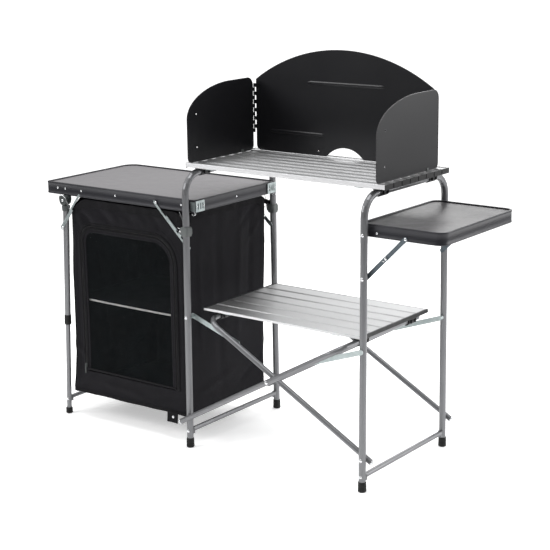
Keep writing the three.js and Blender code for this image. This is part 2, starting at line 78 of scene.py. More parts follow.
class Nodes:
    """A small builder round one material's node tree."""

    def __init__(self, name):
        self.material = bpy.data.materials.new(name)
        self.material.use_nodes = True
        self.tree = self.material.node_tree
        self.shader = self.tree.nodes["Principled BSDF"]
        self.place = self.add("ShaderNodeTexCoord").outputs["Object"]

    def add(self, kind, inputs=None, **settings):
        node = self.tree.nodes.new(kind)
        for key, value in settings.items():
            setattr(node, key, value)
        for key, value in (inputs or {}).items():
            if isinstance(value, bpy.types.NodeSocket):
                self.tree.links.new(value, node.inputs[key])
            else:
                node.inputs[key].default_value = value
        return node

    def stretched(self, scale):
        return self.add("ShaderNodeMapping", {"Vector": self.place, "Scale": scale}).outputs[0]

    def noise(self, scale, detail=3.0, rough=0.55, stretch=(1, 1, 1)):
        place = self.stretched(stretch) if stretch != (1, 1, 1) else self.place
        inputs = {"Vector": place, "Scale": scale, "Detail": detail, "Roughness": rough}
        return self.add("ShaderNodeTexNoise", inputs).outputs["Fac"]

    def spread(self, value, start, end, out_low, out_high):
        node = self.add("ShaderNodeMapRange", {
            "Value": value, "From Min": start, "From Max": end, "To Min": out_low, "To Max": out_high,
        })
        return node.outputs[0]

    def colours(self, value, first, second, start=0.35, end=0.65):
        ramp = self.add("ShaderNodeValToRGB", {"Fac": value})
        ramp.color_ramp.elements[0].position = start
        ramp.color_ramp.elements[0].color = (*first, 1)
        ramp.color_ramp.elements[1].position = end
        ramp.color_ramp.elements[1].color = (*second, 1)
        return ramp.outputs[0]

    def math(self, operation, *values):
        return self.add("ShaderNodeMath", dict(enumerate(values)), operation=operation).outputs[0]

    def sum(self, first, second, share):
        return self.math("ADD", first, self.math("MULTIPLY", second, share))

    def bump(self, height, strength, distance):
        node = self.add("ShaderNodeBump", {"Height": height, "Strength": strength, "Distance": distance})
        self.set(Normal=node.outputs[0])

    def set(self, **sockets):
        for key, value in sockets.items():
            socket = self.shader.inputs[key.replace("_", " ")]
            if isinstance(value, bpy.types.NodeSocket):
                self.tree.links.new(value, socket)
            else:
                socket.default_value = value


def painted_metal(name, first, second, rough, metallic, grain=1500, strength=0.015):
    """Powder coat or enamel: fine orange peel, faint cloudy colour, rubbed patches."""
    n = Nodes(name)
    cloud = n.noise(5, 2)
    n.set(Base_Color=n.colours(cloud, first, second))
    n.set(Roughness=n.spread(n.noise(6, 2), 0.2, 0.8, rough - 0.015, rough + 0.02))
    n.set(Metallic=metallic)
    if strength:
        n.bump(n.noise(grain, 2), strength, 0.0002)
    n.set(Specular_IOR_Level=0.42)
    return n.material


def brushed_metal(name, first, second, rough, metallic=1.0):
    """Anodised or drawn metal: streaks along x."""
    n = Nodes(name)
    streaks = n.noise(1.0, 4, 0.6, (3.0, 260.0, 260.0))
    cloud = n.noise(5, 3)
    n.set(Base_Color=n.colours(n.sum(streaks, cloud, 0.6), first, second, 0.55, 1.05))
    n.set(Roughness=n.spread(streaks, 0.3, 0.7, rough - 0.03, rough + 0.04), Metallic=metallic)
    n.bump(streaks, 0.02, 0.0002)
    return n.material


def moulded(name, first, second, rough, grain=1400):
    """Moulded plastic or rubber with a fine grain."""
    n = Nodes(name)
    n.set(Base_Color=n.colours(n.noise(18, 3), first, second))
    n.set(Roughness=n.spread(n.noise(60, 3), 0.3, 0.7, rough - 0.05, rough + 0.08))
    n.set(Specular_IOR_Level=0.4)
    n.bump(n.noise(grain, 2), 0.2, 0.0002)
    return n.material


def plated(name, first, second, rough):
    """Bright zinc plate with its mottled bloom."""
    n = Nodes(name)
    n.set(Base_Color=n.colours(n.noise(70, 5, 0.65), first, second, 0.3, 0.7))
    n.set(Roughness=n.spread(n.noise(140, 4), 0.3, 0.7, rough - 0.08, rough + 0.12), Metallic=0.9)
    n.bump(n.noise(500, 3), 0.15, 0.0002)
    return n.material


def woven(name, first, second, thread, rough, sheen):
    """Plain weave: two crossed sets of threads. The threads follow a panel's own across and up."""
    n = Nodes(name)
    split = n.add("ShaderNodeSeparateXYZ", {"Vector": n.place})
    across = n.math("ADD", split.outputs[0], split.outputs[1])
    flat = n.add("ShaderNodeCombineXYZ", {0: across, 1: split.outputs[2], 2: 0.0}).outputs[0]
    waves = []
    for direction in ("X", "Y"):
        wave = n.add("ShaderNodeTexWave", {
            "Vector": flat, "Scale": 0.5 / thread, "Distortion": 1.2, "Detail": 1.0, "Detail Scale": 2.0,
        }, wave_type="BANDS", bands_direction=direction)
        waves.append(wave.outputs["Fac"])
    weave = n.math("MULTIPLY", *waves)
    cloud = n.noise(9, 5, 0.6)
    slubs = n.noise(1.0, 3, 0.6, (240.0, 240.0, 30.0))
    mottled = n.sum(n.sum(cloud, slubs, 0.35), weave, 0.25)
    n.set(Base_Color=n.colours(mottled, first, second, 0.5, 1.0))
    n.set(Roughness=n.spread(cloud, 0.3, 0.7, rough - 0.06, rough + 0.05))
    n.set(Sheen_Weight=sheen, Sheen_Roughness=0.45, Sheen_Tint=(0.8, 0.8, 0.9, 1), Specular_IOR_Level=0.12)
    n.bump(n.sum(weave, slubs, 0.6), 0.5, 0.0006)
    return n.material


def net(name, colour, thread, cover):
    """Fine see-through netting: the holes are the clear part of a small grid."""
    n = Nodes(name)
    split = n.add("ShaderNodeSeparateXYZ", {"Vector": n.place})
    strands = []
    for axis in (0, 2):
        part = n.math("FRACT", n.math("MULTIPLY", split.outputs[axis], 1 / thread))
        strands.append(n.math("LESS_THAN", part, cover))
    solid = n.math("MAXIMUM", *strands)
    n.set(Base_Color=n.colours(n.noise(12, 3), colour, tuple(c * 1.5 for c in colour)))
    n.set(Specular_IOR_Level=0.15, Alpha=n.spread(solid, 0, 1, 0.06, 1.0))
    n.set(Roughness=n.spread(n.noise(40, 2), 0.3, 0.7, 0.6, 0.8))
    n.bump(solid, 0.3, 0.0003)
    return n.material


def laminate(name, first, second, rough):
    """A speckled matt board."""
    n = Nodes(name)
    speck = n.noise(650, 2, 0.7)
    cloud = n.noise(4, 3)
    n.set(Base_Color=n.colours(n.sum(speck, cloud, 0.5), first, second, 0.5, 1.0))
    n.set(Roughness=n.spread(n.noise(30, 4), 0.3, 0.7, rough - 0.05, rough + 0.06))
    n.bump(speck, 0.02, 0.0002)
    return n.material


PAINT = {
    "tube": painted_metal("frame_silver_paint", (0.19, 0.192, 0.20), (0.21, 0.212, 0.22), 0.36, 0.6),
    # A near-black disc in each open tube end: painted shade for the hollow bore.
    "tube_end": moulded("tube_bore_painted_shade", (0.02, 0.02, 0.02), (0.04, 0.04, 0.04), 0.6),
    "slat": brushed_metal("slat_aluminium", (0.36, 0.362, 0.366), (0.42, 0.422, 0.426), 0.48),
    # The front strip's pale aluminium is a painted highlight where the shelves' front faces meet the key
    # light.
    "bright": brushed_metal("front_edge_painted_highlight", (0.72, 0.72, 0.73), (0.82, 0.82, 0.83), 0.45, 0.3),
    "zinc": plated("zinc_plate", (0.34, 0.39, 0.39), (0.48, 0.53, 0.53), 0.40),
    # The braces' darker copy of the zinc plate is painted shade: they sit in the table's shadow.
    "brace": plated("zinc_painted_shade", (0.10, 0.12, 0.14), (0.15, 0.18, 0.20), 0.42),
    "rivet": plated("rivet_nickel", (0.70, 0.71, 0.73), (0.86, 0.87, 0.88), 0.22),
    "black": moulded("black_plastic", (0.006, 0.006, 0.007), (0.012, 0.012, 0.013), 0.5),
    "rubber": moulded("foot_rubber", (0.004, 0.004, 0.004), (0.009, 0.009, 0.009), 0.7, 700),
    "grey": moulded("collar_plastic", (0.105, 0.115, 0.113), (0.14, 0.15, 0.148), 0.48),
    "knuckle": moulded("knuckle_plastic", (0.035, 0.040, 0.040), (0.055, 0.062, 0.061), 0.5),
    "board": laminate("counter_laminate", (0.135, 0.130, 0.136), (0.160, 0.155, 0.161), 0.50),
    "side": laminate("side_laminate", (0.040, 0.038, 0.041), (0.055, 0.053, 0.056), 0.33),
    "edge": painted_metal("edge_profile_paint", (0.018, 0.018, 0.022), (0.026, 0.026, 0.031), 0.38, 0.3),
    "shield": painted_metal(
        "windshield_enamel", (0.0125, 0.0125, 0.0145), (0.0140, 0.0140, 0.0160), 0.30, 0.0, strength=0.0),
    # The rim paint is lighter than the sheet's: a painted highlight along the cut edges.
    "rim": painted_metal("windshield_rim_painted_highlight", (0.05, 0.048, 0.05), (0.08, 0.077, 0.08), 0.35, 0.5),
    "cloth": woven("cupboard_polyester", (0.004, 0.0036, 0.005), (0.0075, 0.0068, 0.009), 0.0011, 0.72, 0.05),
    # Darker than the cloth; on the top band that darkness is painted shade under the counter's edge.
    "hem": woven("webbing_and_painted_shade", (0.0032, 0.0030, 0.0038), (0.0060, 0.0056, 0.0068), 0.0016, 0.7, 0.04),
    "net": net("window_net", (0.0032, 0.0050, 0.0060), 0.0018, 0.22),
    "zip": moulded("zip_nylon", (0.006, 0.006, 0.0065), (0.012, 0.012, 0.013), 0.45, 900),
    "sleeve": woven("shelf_sleeve", (0.0040, 0.0045, 0.0055), (0.0070, 0.0075, 0.0085), 0.0014, 0.8, 0.03),
    "pale_edge": moulded("shelf_edge_strip", (0.80, 0.79, 0.77), (0.88, 0.87, 0.85), 0.5),
    "thread": woven("stitch_thread", (0.012, 0.012, 0.013), (0.022, 0.022, 0.024), 0.0008, 0.85, 0.05),
}


# ---- mesh helpers ------------------------------------------------------------------------------


def row_faces(rows, count, closed=True, looped=False):
    """Quads between rows of points; closed joins each row's ends, looped joins the last row to the first."""
    faces = []
    for row in range(rows if looped else rows - 1):
        here, there = row * count, (row + 1) % rows * count
        for k in range(count if closed else count - 1):
            m = (k + 1) % count
            faces.append((here + k, here + m, there + m, there + k))
    return faces


def end_faces(rows, count):
    """The two faces that close a stack of rows."""
    return [tuple(range(count)), tuple(range((rows - 1) * count, rows * count))]


def in_mm(*pairs):
    return [(a * MM, b * MM) for a, b in pairs]


def shifted(place, *offsets):
    """Places at offsets, in millimetres, from one place."""
    return [place + Vector(offset) * MM for offset in offsets]


def upright(p, q, level):
    return Vector((p, q, level))


def lengthwise(p, q, level):
    return Vector((level, p, q))


def crosswise(p, q, level):
    return Vector((p, level, q))


def bevelled(obj, width, segments, angle):
    edges = obj.modifiers.new("soft_edges", "BEVEL")
    edges.width = width
    edges.segments = segments
    edges.limit_method = "ANGLE"
    edges.angle_limit = math.radians(angle)
    edges.harden_normals = True


def piece(name, verts, faces, paint, body, slot, smooth=True, bevel=0.0, solid=0.0):
    """One mesh object on a moving body; solid thickens a sheet, bevel softens sharp edges."""
    mesh = bpy.data.meshes.new(name)
    mesh.from_pydata([tuple(v) for v in verts], [], [tuple(f) for f in faces])
    mesh.validate()
    bm = bmesh.new()
    bm.from_mesh(mesh)
    bmesh.ops.remove_doubles(bm, verts=bm.verts, dist=1e-6)
    bmesh.ops.recalc_face_normals(bm, faces=bm.faces)
    bm.to_mesh(mesh)
    bm.free()
    for polygon in mesh.polygons:
        polygon.use_smooth = smooth
    obj = bpy.data.objects.new(name, mesh)
    scene.collection.objects.link(obj)
    mesh.materials.append(PAINT[paint])
    if solid:
        thick = obj.modifiers.new("thickness", "SOLIDIFY")
        thick.thickness = solid
        thick.offset = 0
    if bevel:
        bevelled(obj, bevel, 2, 35)
    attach(obj, body)
    return obj


class Builder:
    """Collects several small shapes into one mesh."""

    def __init__(self):
        self.verts = []
        self.faces = []

    def take(self, verts, faces):
        base = len(self.verts)
        self.verts += [Vector(v) for v in verts]
        self.faces += [tuple(base + i for i in f) for f in faces]
        return self

    def block(self, lo, hi):
        corners = [(x, y, z) for z in (lo[2], hi[2]) for y in (lo[1], hi[1]) for x in (lo[0], hi[0])]
        sides = [(0, 2, 3, 1), (4, 5, 7, 6), (0, 1, 5, 4), (2, 6, 7, 3), (0, 4, 6, 2), (1, 3, 7, 5)]
        return self.take(corners, sides)

    def prism(self, outline, to_space, start, end):
        """A solid between two copies of an outline; to_space turns (p, q, level) into a place."""
        verts = [to_space(p, q, level) for level in (start, end) for p, q in outline]
        count = len(outline)
        return self.take(verts, row_faces(2, count) + end_faces(2, count))

    def strip(self, rows, looped=False):
        """A thin tape through rows of four corners."""
        faces = row_faces(len(rows), 4, looped=looped)
        if not looped:
            faces += end_faces(len(rows), 4)
        return self.take([corner for row in rows for corner in row], faces)

    def turned(self, centre, axis, profile, sides=20):
        """A turned shape: profile lists (radius, distance along axis) from one pole to the other."""
        axis = Vector(axis).normalized()
        across = axis.orthogonal().normalized()
        other = axis.cross(across)
        verts = []
        for radius, along in profile:
            for i in range(sides):
                a = 2 * math.pi * i / sides
                out = (across * math.cos(a) + other * math.sin(a)) * radius
                verts.append(Vector(centre) + axis * along + out)
        return self.take(verts, row_faces(len(profile), sides) + end_faces(len(profile), sides))

    def swept(self, points, section, closed=False, up=Vector((0, 0, 1))):
        """Sweeps a closed section of (sideways, upwards) points along a line of points."""
        points = [Vector(p) for p in points]
        count = len(points)
        verts = []
        for i, point in enumerate(points):
            before = points[i - 1] if closed or i else points[i]
            after = points[(i + 1) % count] if closed or i < count - 1 else points[i]
            along = (after - before).normalized()
            side = along.cross(up)
            side = side.normalized() if side.length > 1e-6 else along.orthogonal().normalized()
            top = side.cross(along).normalized()
            stretch = 1.0
            if (closed or 0 < i < count - 1) and (after - point).length and (point - before).length:
                cosine = (after - point).normalized().dot((point - before).normalized())
                stretch = 1 / math.sqrt(max(0.25, (1 + cosine) / 2))
            for s, t in section:
                verts.append(point + side * s * stretch + top * t)
        faces = row_faces(count, len(section), looped=closed)
        if not closed:
            faces += end_faces(count, len(section))
        return self.take(verts, faces)

    def make(self, name, paint, body, slot, **options):
        return piece(name, self.verts, self.faces, paint, body, slot, **options)


def round_section(radius, sides=10, squash=1.0):
    return [
        (radius * math.cos(2 * math.pi * i / sides), squash * radius * math.sin(2 * math.pi * i / sides))
        for i in range(sides)
    ]


def flat_section(width, thickness):
    """A flat strip's section, with its corners cut."""
    w, t = width / 2, thickness / 2
    cut = min(w, t) * 0.5
    right = [(w - cut, -t), (w, -t + cut), (w, t - cut), (w - cut, t)]
    return right + [(-x, y) for x, y in reversed(right)]


def smooth_line(points, steps=6):
    """A Catmull-Rom line through the points."""
    points = [Vector(p) for p in points]
    padded = [2 * points[0] - points[1], *points, 2 * points[-1] - points[-2]]
    line = []
    for i in range(1, len(padded) - 2):
        a, b, c, d = padded[i - 1:i + 3]
        for step in range(steps):
            t = step / steps
            line.append(0.5 * (2 * b + (c - a) * t + (2 * a - 5 * b + 4 * c - d) * t * t
                               + (3 * b - a - 3 * c + d) * t ** 3))
    line.append(points[-1])
    return line


def arc(centre, radius, start, end, steps):
    """Points of an arc in two coordinates; angles in degrees."""
    result = []
    for i in range(steps + 1):
        a = math.radians(start + (end - start) * i / steps)
        result.append((centre[0] + radius * math.cos(a), centre[1] + radius * math.sin(a)))
    return result


def rounded_outline(x0, x1, y0, y1, radius, steps=6):
    points = []
    corners = [(x1 - radius, y0 + radius, -90), (x1 - radius, y1 - radius, 0),
               (x0 + radius, y1 - radius, 90), (x0 + radius, y0 + radius, 180)]
    for cx, cy, start in corners:
        points += arc((cx, cy), radius, start, start + 90, steps)
    return points


def rivet(builder, place, axis, radius, height):
    """A domed rivet head standing on a surface."""
    shares = ((0.95, 0.35), (0.75, 0.72), (0.4, 0.95), (0.05, 1.0))
    profile = [(radius * 0.9, -0.6 * MM), (radius, 0.0)] + [(radius * r, height * h) for r, h in shares]
    return builder.turned(place, axis, profile, 14)


# ---- camera, floor and light -------------------------------------------------------------------


def place_camera():
    azimuth, elevation, roll = (math.radians(a) for a in (36.80, 13.81, -0.733))
    target = Vector((LEFT_X + 0.1549, 0.0, 0.486))
    distance = 4.1245
    level = Vector((math.sin(azimuth), -math.cos(azimuth), 0))
    back = level * math.cos(elevation) + Vector((0, 0, math.sin(elevation)))
    right = Vector((math.cos(azimuth), math.sin(azimuth), 0))
    up = back.cross(right)
    turned_right = right * math.cos(roll) + up * math.sin(roll)
    turned_up = -right * math.sin(roll) + up * math.cos(roll)
    data = bpy.data.cameras.new("camera")
    data.sensor_width = 36
    data.lens = 2.64 * data.sensor_width
    data.clip_end = 60
    camera = bpy.data.objects.new("camera", data)
    camera.matrix_world = Matrix((turned_right, turned_up, back)).transposed().to_4x4()
    camera.matrix_world.translation = target + back * distance
    scene.collection.objects.link(camera)
    scene.camera = camera


def area_light(name, place, aim, size, power):
    data = bpy.data.lights.new(name, "AREA")
    data.shape = "RECTANGLE"
    data.size, data.size_y = size
    data.energy = power
    light = bpy.data.objects.new(name, data)
    light.location = place
    light.rotation_euler = (Vector(aim) - Vector(place)).to_track_quat("-Z", "Y").to_euler()
    scene.collection.objects.link(light)


def build_floor():
    floor = bpy.data.meshes.new("floor")
    rim = arc((0, 0), 2.6, 0, 360, 64)[:-1]
    floor.from_pydata([(x, y, 0) for x, y in rim], [], [tuple(range(len(rim)))])
    n = Nodes("studio_floor")
    n.set(Base_Color=n.colours(n.noise(3, 2), (0.90, 0.90, 0.90), (0.93, 0.93, 0.93)), Roughness=0.95)
    n.set(Specular_IOR_Level=0.0, Emission_Color=(1, 1, 1, 1), Emission_Strength=0.42)
    floor.materials.append(n.material)
    ground = bpy.data.objects.new("floor", floor)
    ground.location.z = -0.0006
    scene.collection.objects.link(ground)


def build_world():
    """White to the camera; to the object, dark in front and light behind and above."""
    world = bpy.data.worlds.new("studio")
    scene.world = world
    world.use_nodes = True
    tree = world.node_tree
    background = tree.nodes["Background"]
    ray = tree.nodes.new("ShaderNodeLightPath")
    place = tree.nodes.new("ShaderNodeTexCoord")
    tilt = tree.nodes.new("ShaderNodeVectorMath")
    tilt.operation = "DOT_PRODUCT"
    tilt.inputs[1].default_value = (0.10, 0.50, 0.42)
    tree.links.new(place.outputs["Generated"], tilt.inputs[0])
    level = tree.nodes.new("ShaderNodeMapRange")
    for key, value in (("From Min", -0.45), ("From Max", 0.60), ("To Min", 0.10), ("To Max", 0.66)):
        level.inputs[key].default_value = value
    tree.links.new(tilt.outputs["Value"], level.inputs["Value"])
    mix = tree.nodes.new("ShaderNodeMix")
    mix.data_type = "FLOAT"
    tree.links.new(ray.outputs["Is Camera Ray"], mix.inputs["Factor"])
    tree.links.new(level.outputs[0], mix.inputs["A"])
    mix.inputs["B"].default_value = 1.3
    tree.links.new(mix.outputs["Result"], background.inputs["Strength"])
    background.inputs["Color"].default_value = (1, 1, 1, 1)


def build_lights():
    area_light("key", (-2.3, -2.6, 2.5), (0, 0, 0.5), (2.0, 1.6), 78)
    area_light("right_fill", (2.9, 2.4, 1.7), (0.2, 0, 0.7), (1.6, 1.8), 62)
    area_light("rear_rim", (-1.0, 3.4, 2.8), (0, 0, 0.7), (2.4, 1.2), 55)
    area_light("top", (0.0, 0.2, 4.0), (0, 0, 0), (3.0, 3.0), 125)
    scene.view_settings.view_transform = "Standard"
    scene.view_settings.look = "None"


place_camera()
build_floor()
build_world()
build_lights()


# ---- carried-over CAD nodes --------------------------------------------------------------------

SINGLE_TUBES = (
    "left_arch", "right_arch", "left_rail", "right_rail", "outer_scissor", "inner_scissor", "counter_rail",
)
PAIRED_NODES = {
    "tube": ("counter_leg", "counter_tube"),
    "zinc": ("left_link", "right_link", "counter_bracket", "outer_strut", "inner_strut"),
    "brace": ("upper_brace", "lower_brace"),
    # The braces take the darker zinc copy: painted shade under the table.
    "black": ("left_saddle", "right_saddle", "outer_saddle", "inner_saddle"),
    "grey": ("leg_collar",),
    "rubber": ("left_foot", "right_foot", "counter_foot"),
}


def paint_node(node, paint):
    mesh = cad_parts[node].data
    mesh.materials.clear()
    mesh.materials.append(PAINT[paint])


for node in SINGLE_TUBES:
    paint_node(node, "tube")
for paint, stems in PAIRED_NODES.items():
    for stem in stems:
        for word, _ in SIDES:
            paint_node(f"{stem}_{word}", paint)


# ---- slatted shelves ---------------------------------------------------------------------------


def slat_section(width, top, bottom, y0, bead, fall):
    """One slat's outline in y and z: a raised bead along both long edges and a lower flat between."""
    rise = [(0.0, -1.2 * MM), (0.5 * MM, -0.3 * MM), (1.0 * MM, 0.0), (bead, 0.0)]
    for along, down in ((0.3, 0.2), (0.8, 0.9), (1.0, 1.0)):
        rise.append((bead + 1.1 * fall * along, -fall * down))
    near = [(y0 + across, top + up) for across, up in rise]
    far = [(y0 + width - across, top + up) for across, up in reversed(rise)]
    return [(y0, bottom), *near, *far, (y0 + width, bottom)]


def slatted(node, body, slats, gap, bead, fall, end_strips):
    """A roll-up shelf: beaded slats with black ends, a front strip painted much lighter than the slats as a
    painted highlight, and two battens below.
    """
    lo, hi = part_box(node)
    pitch = (hi.y - lo.y + gap) / slats
    width = pitch - gap
    cap = 2.0 * MM
    inset = 0.5 * MM
    build = Builder()
    caps = Builder()
    for i in range(slats):
        y0 = lo.y + i * pitch
        section = slat_section(width, hi.z, lo.z + 2 * MM, y0, bead, fall)
        build.prism(section, lengthwise, lo.x + cap, hi.x - cap)
        for x0, x1 in ((lo.x, lo.x + cap + 1.2 * MM), (hi.x - cap - 1.2 * MM, hi.x)):
            caps.block((x0, y0 + inset, lo.z), (x1, y0 + width - inset, hi.z - 0.8 * MM))
    if end_strips:
        for x0 in (lo.x - 0.5 * MM, hi.x - 5 * MM):
            caps.block((x0, lo.y, lo.z - 1.2 * MM), (x0 + 5.5 * MM, hi.y, hi.z + 0.3 * MM))
    # Painted highlight: a lighter strip along the shelf's front face.
    front = Builder()
    front.block((lo.x + cap, lo.y - 0.5 * MM, lo.z + 2.2 * MM), (hi.x - cap, lo.y + 1 * MM, hi.z - 1.0 * MM))
    front.make(f"{node}_front_strip", "bright", body, "slats", bevel=0.3 * MM)
    shelf = build.make(f"{node}_slats", "slat", body, "slats", smooth=False)
    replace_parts(shelf, node)
    caps.make(f"{node}_end_caps", "black", body, "black_plastic", bevel=0.6 * MM)
    battens = Builder()
    for x in (lo.x + 82 * MM, hi.x - 82 * MM):
        battens.block((x - 12 * MM, lo.y + 2 * MM, lo.z), (x + 12 * MM, hi.y - 2 * MM, lo.z + 2.2 * MM))
        for i in range(slats):
            rivet(battens, (x, lo.y + (i + 0.5) * pitch, lo.z + 0.2 * MM), (0, 0, -1), 2.6 * MM, 0.2 * MM)
    battens.make(f"{node}_battens", "zinc", body, "slats", bevel=0.4 * MM)


slatted("top_shelf", "top_rack", slats=8, gap=1.6 * MM, bead=4.0 * MM, fall=2.4 * MM, end_strips=False)
slatted("lower_shelf", "lower_rack", slats=6, gap=2.4 * MM, bead=3.0 * MM, fall=1.0 * MM, end_strips=True)


# ---- counter and side table --------------------------------------------------------------------


def unequal_outline(lo, hi, inset, corners):
    """A rounded rectangle with one radius for both right corners and its own for each left corner."""
    x0, x1, y0, y1 = lo.x + inset, hi.x - inset, lo.y + inset, hi.y - inset
    right, rear, front = (max(radius - inset, 2 * MM) for radius in corners)
    points = arc((x1 - right, y0 + right), right, -90, 0, 8)
    points += arc((x1 - right, y1 - right), right, 0, 90, 8)
    points += arc((x0 + rear, y1 - rear), rear, 90, 180, 8)
    points += arc((x0 + front, y0 + front), front, 180, 270, 8)
    return points


def table_top(name, body, corners, board_paint):
    """The rolled edge profile as one swept ring, and the board lying inside its lip."""
    lo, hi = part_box(f"{name}_edge")
    base = (lo.z - hi.z) / MM
    lip = 6.5
    proud = 0.4
    profile = [
        (0.8, base), (0.0, base + 1.0), (0.0, base + 3.6), (0.7, base + 4.6), (0.7, -5.2), (0.0, -4.2),
        (0.0, proud - 1.8), (0.5, proud - 0.6), (1.6, proud), (lip - 1.0, proud), (lip - 0.2, proud - 0.5),
        (lip, proud - 1.8), (lip, -4.0), (lip - 1.2, -4.2), (3.2, base + 6.0), (3.4, base + 1.4),
        (12.0, base + 1.4), (12.0, base),
    ]
    path = [Vector((x, y, hi.z)) for x, y in unequal_outline(lo, hi, 0.0, corners)]
    section = in_mm(*[(-inward, up) for inward, up in profile])
    rim = Builder().swept(path, section, closed=True).make(f"{name}_rim", "edge", body, "edge_profile")
    bevelled(rim, 0.3 * MM, 1, 40)
    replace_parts(rim, f"{name}_edge")
    outline = unequal_outline(lo, hi, (lip - 0.6) * MM, corners)
    top = hi.z - 3.2 * MM
    slab = Builder().prism(outline, upright, top - 14 * MM, top)
    board = slab.make(f"{name}_top", board_paint, body, "laminate", smooth=False)
    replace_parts(board, f"{name}_board")


table_top("counter", "base", (14 * MM, 40 * MM, 12 * MM), "board")
table_top("side_table", "side_leaf", (26 * MM, 26 * MM, 26 * MM), "side")


# ---- fabric cupboard ---------------------------------------------------------------------------

CLOTH = 0.9 * MM
CORNER = 15 * MM
BAG_LOW = low("cupboard_front")
BAG_HIGH = Vector((high("cupboard_front").x, high("cupboard_back").y, high("cupboard_front").z))
BAG_WIDE = BAG_HIGH.x - BAG_LOW.x
BAG_DEEP = BAG_HIGH.y - BAG_LOW.y
BAG_TALL = BAG_HIGH.z - BAG_LOW.z
DOOR_LOW, DOOR_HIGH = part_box("cupboard_door")
DOOR_SMALL = 45 * MM
DOOR_LARGE = 80 * MM


def ease(start, end, value):
    t = min(1.0, max(0.0, (value - start) / (end - start)))
    return t * t * (3 - 2 * t)


def between(value, steps):
    """Reads a value off a short list of (place, amount) pairs."""
    for (a, p), (b, q) in zip(steps, steps[1:]):
        if value <= b:
            return p + (q - p) * ease(a, b, value)
    return steps[-1][1]


def crease(across, upward, lines):
    """Soft ridges and valleys; a line is (u0, t0, u1, t1) in shares, then half width and height in mm."""
    total = 0.0
    for u0, t0, u1, t1, width, height in lines:
        a = Vector((u0 * BAG_WIDE, t0 * BAG_TALL))
        b = Vector((u1 * BAG_WIDE, t1 * BAG_TALL))
        p = Vector((across, upward))
        run = b - a
        share = min(1.15, max(-0.15, (p - a).dot(run) / run.length_squared))
        gap = (p - a - run * share).length
        fade = ease(-0.15, 0.25, share) * (1 - ease(0.75, 1.15, share))
        total += height * MM * math.exp(-((gap / (width * MM)) ** 2)) * fade
    return total


FRONT_FOLDS = (
    (0.02, 0.99, 0.13, 0.84, 9, 3.5), (0.05, 0.97, 0.26, 0.90, 8, 2.6), (0.11, 0.93, 0.20, 0.86, 9, -4.0),
    (0.24, 0.97, 0.36, 0.885, 10, -5.0), (0.33, 0.985, 0.42, 0.90, 9, 3.4),
    (0.42, 0.97, 0.56, 0.92, 10, -3.2),
    (0.57, 0.975, 0.66, 0.91, 8, 2.2), (0.70, 0.98, 0.79, 0.90, 9, -3.0), (0.98, 0.98, 0.84, 0.86, 9, 2.0),
    (0.045, 0.86, 0.035, 0.28, 7, -2.6), (0.965, 0.82, 0.955, 0.16, 6, 2.4),
    (0.93, 0.62, 0.945, 0.20, 5, -2.0),
    (-0.02, 0.27, 0.09, 0.20, 8, 3.4), (0.00, 0.02, 0.16, 0.12, 10, 3.0), (0.22, 0.075, 0.62, 0.05, 9, 2.2),
    (0.60, 0.035, 0.90, 0.085, 8, -2.4), (0.30, 0.83, 0.62, 0.815, 9, 1.6),
)
SIDE_FOLDS = (
    (0.56, 0.98, 0.50, 0.25, 14, 3.0), (0.66, 0.95, 0.63, 0.40, 11, -3.6), (0.30, 0.93, 0.33, 0.10, 16, -2.6),
    (0.78, 0.99, 0.52, 0.86, 9, -3.0), (0.76, 0.88, 0.60, 0.76, 8, 2.4), (0.02, 0.96, 0.20, 0.88, 9, 2.0),
    (0.10, 0.10, 0.48, 0.16, 12, 2.4), (0.50, 0.08, 0.76, 0.18, 10, -2.6), (0.13, 0.80, 0.15, 0.30, 9, 1.8),
)


def rumple(across, upward, seed):
    """Uneven cloth: puckers bunch up under the top band, and the middle only billows."""
    share = upward / BAG_TALL
    slow = noise.noise(Vector((across * 7, upward * 3.5, seed))) * 3.0 * MM
    puckers = noise.noise(Vector((across * 26 + upward * 14, upward * 24 - across * 9, seed + 4)))
    fine = noise.noise(Vector((across * 75, upward * 60, seed + 9))) * 0.35 * MM
    gather = math.exp(-(1 - share) / 0.13) + 0.35 * math.exp(-share / 0.10)
    return slow * (0.4 + 0.6 * math.sin(math.pi * min(1, max(0, share)))) + puckers * 3.2 * MM * gather + fine


def front_push(x, z):
    across, upward = x - BAG_LOW.x, z - BAG_LOW.z
    u, t = across / BAG_WIDE, upward / BAG_TALL
    sag = -5.0 * MM * math.sin(math.pi * min(1, max(0, u))) * math.sin(math.pi * min(1, max(0, t)))
    foot = 5.0 * MM * (1 - ease(0.0, 0.22, t)) * (1 - ease(0.0, 0.5, u))
    push = sag + foot + rumple(across, upward, 2.0) + crease(across, upward, FRONT_FOLDS)
    return min(push, 2.0 * MM if t > 0.75 else 6.0 * MM)


def right_push(y, z):
    deep, upward = y - BAG_LOW.y, z - BAG_LOW.z
    t = upward / BAG_TALL
    front = 1 - ease(0.0, 0.35, deep / BAG_DEEP)
    sag = -(3.0 + 5.0 * front) * MM * math.sin(math.pi * min(1, max(0, t)))
    push = sag + rumple(deep, upward, 21.0) * 0.8 + crease(deep, upward, SIDE_FOLDS)
    return min(push, 3.0 * MM)


def left_push(y, z):
    deep, upward = y - BAG_LOW.y, z - BAG_LOW.z
    steps = ((0.0, 13.0), (0.12, 9.0), (0.25, 6.0), (0.6, 2.5), (0.8, -3.0), (1.0, -2.0))
    flare = between(upward / BAG_TALL, steps)
    return flare * MM + rumple(deep, upward, 33.0) * 0.8 + crease(deep, upward, SIDE_FOLDS) * 0.8


def back_push(x, z):
    across, upward = x - BAG_LOW.x, z - BAG_LOW.z
    t = upward / BAG_TALL
    taper = between(t, ((0.0, -12.0), (0.3, -5.0), (0.8, 3.0), (1.0, 4.0)))
    return taper * MM + rumple(across, upward, 45.0) + crease(BAG_WIDE - across, upward, FRONT_FOLDS) * 0.6


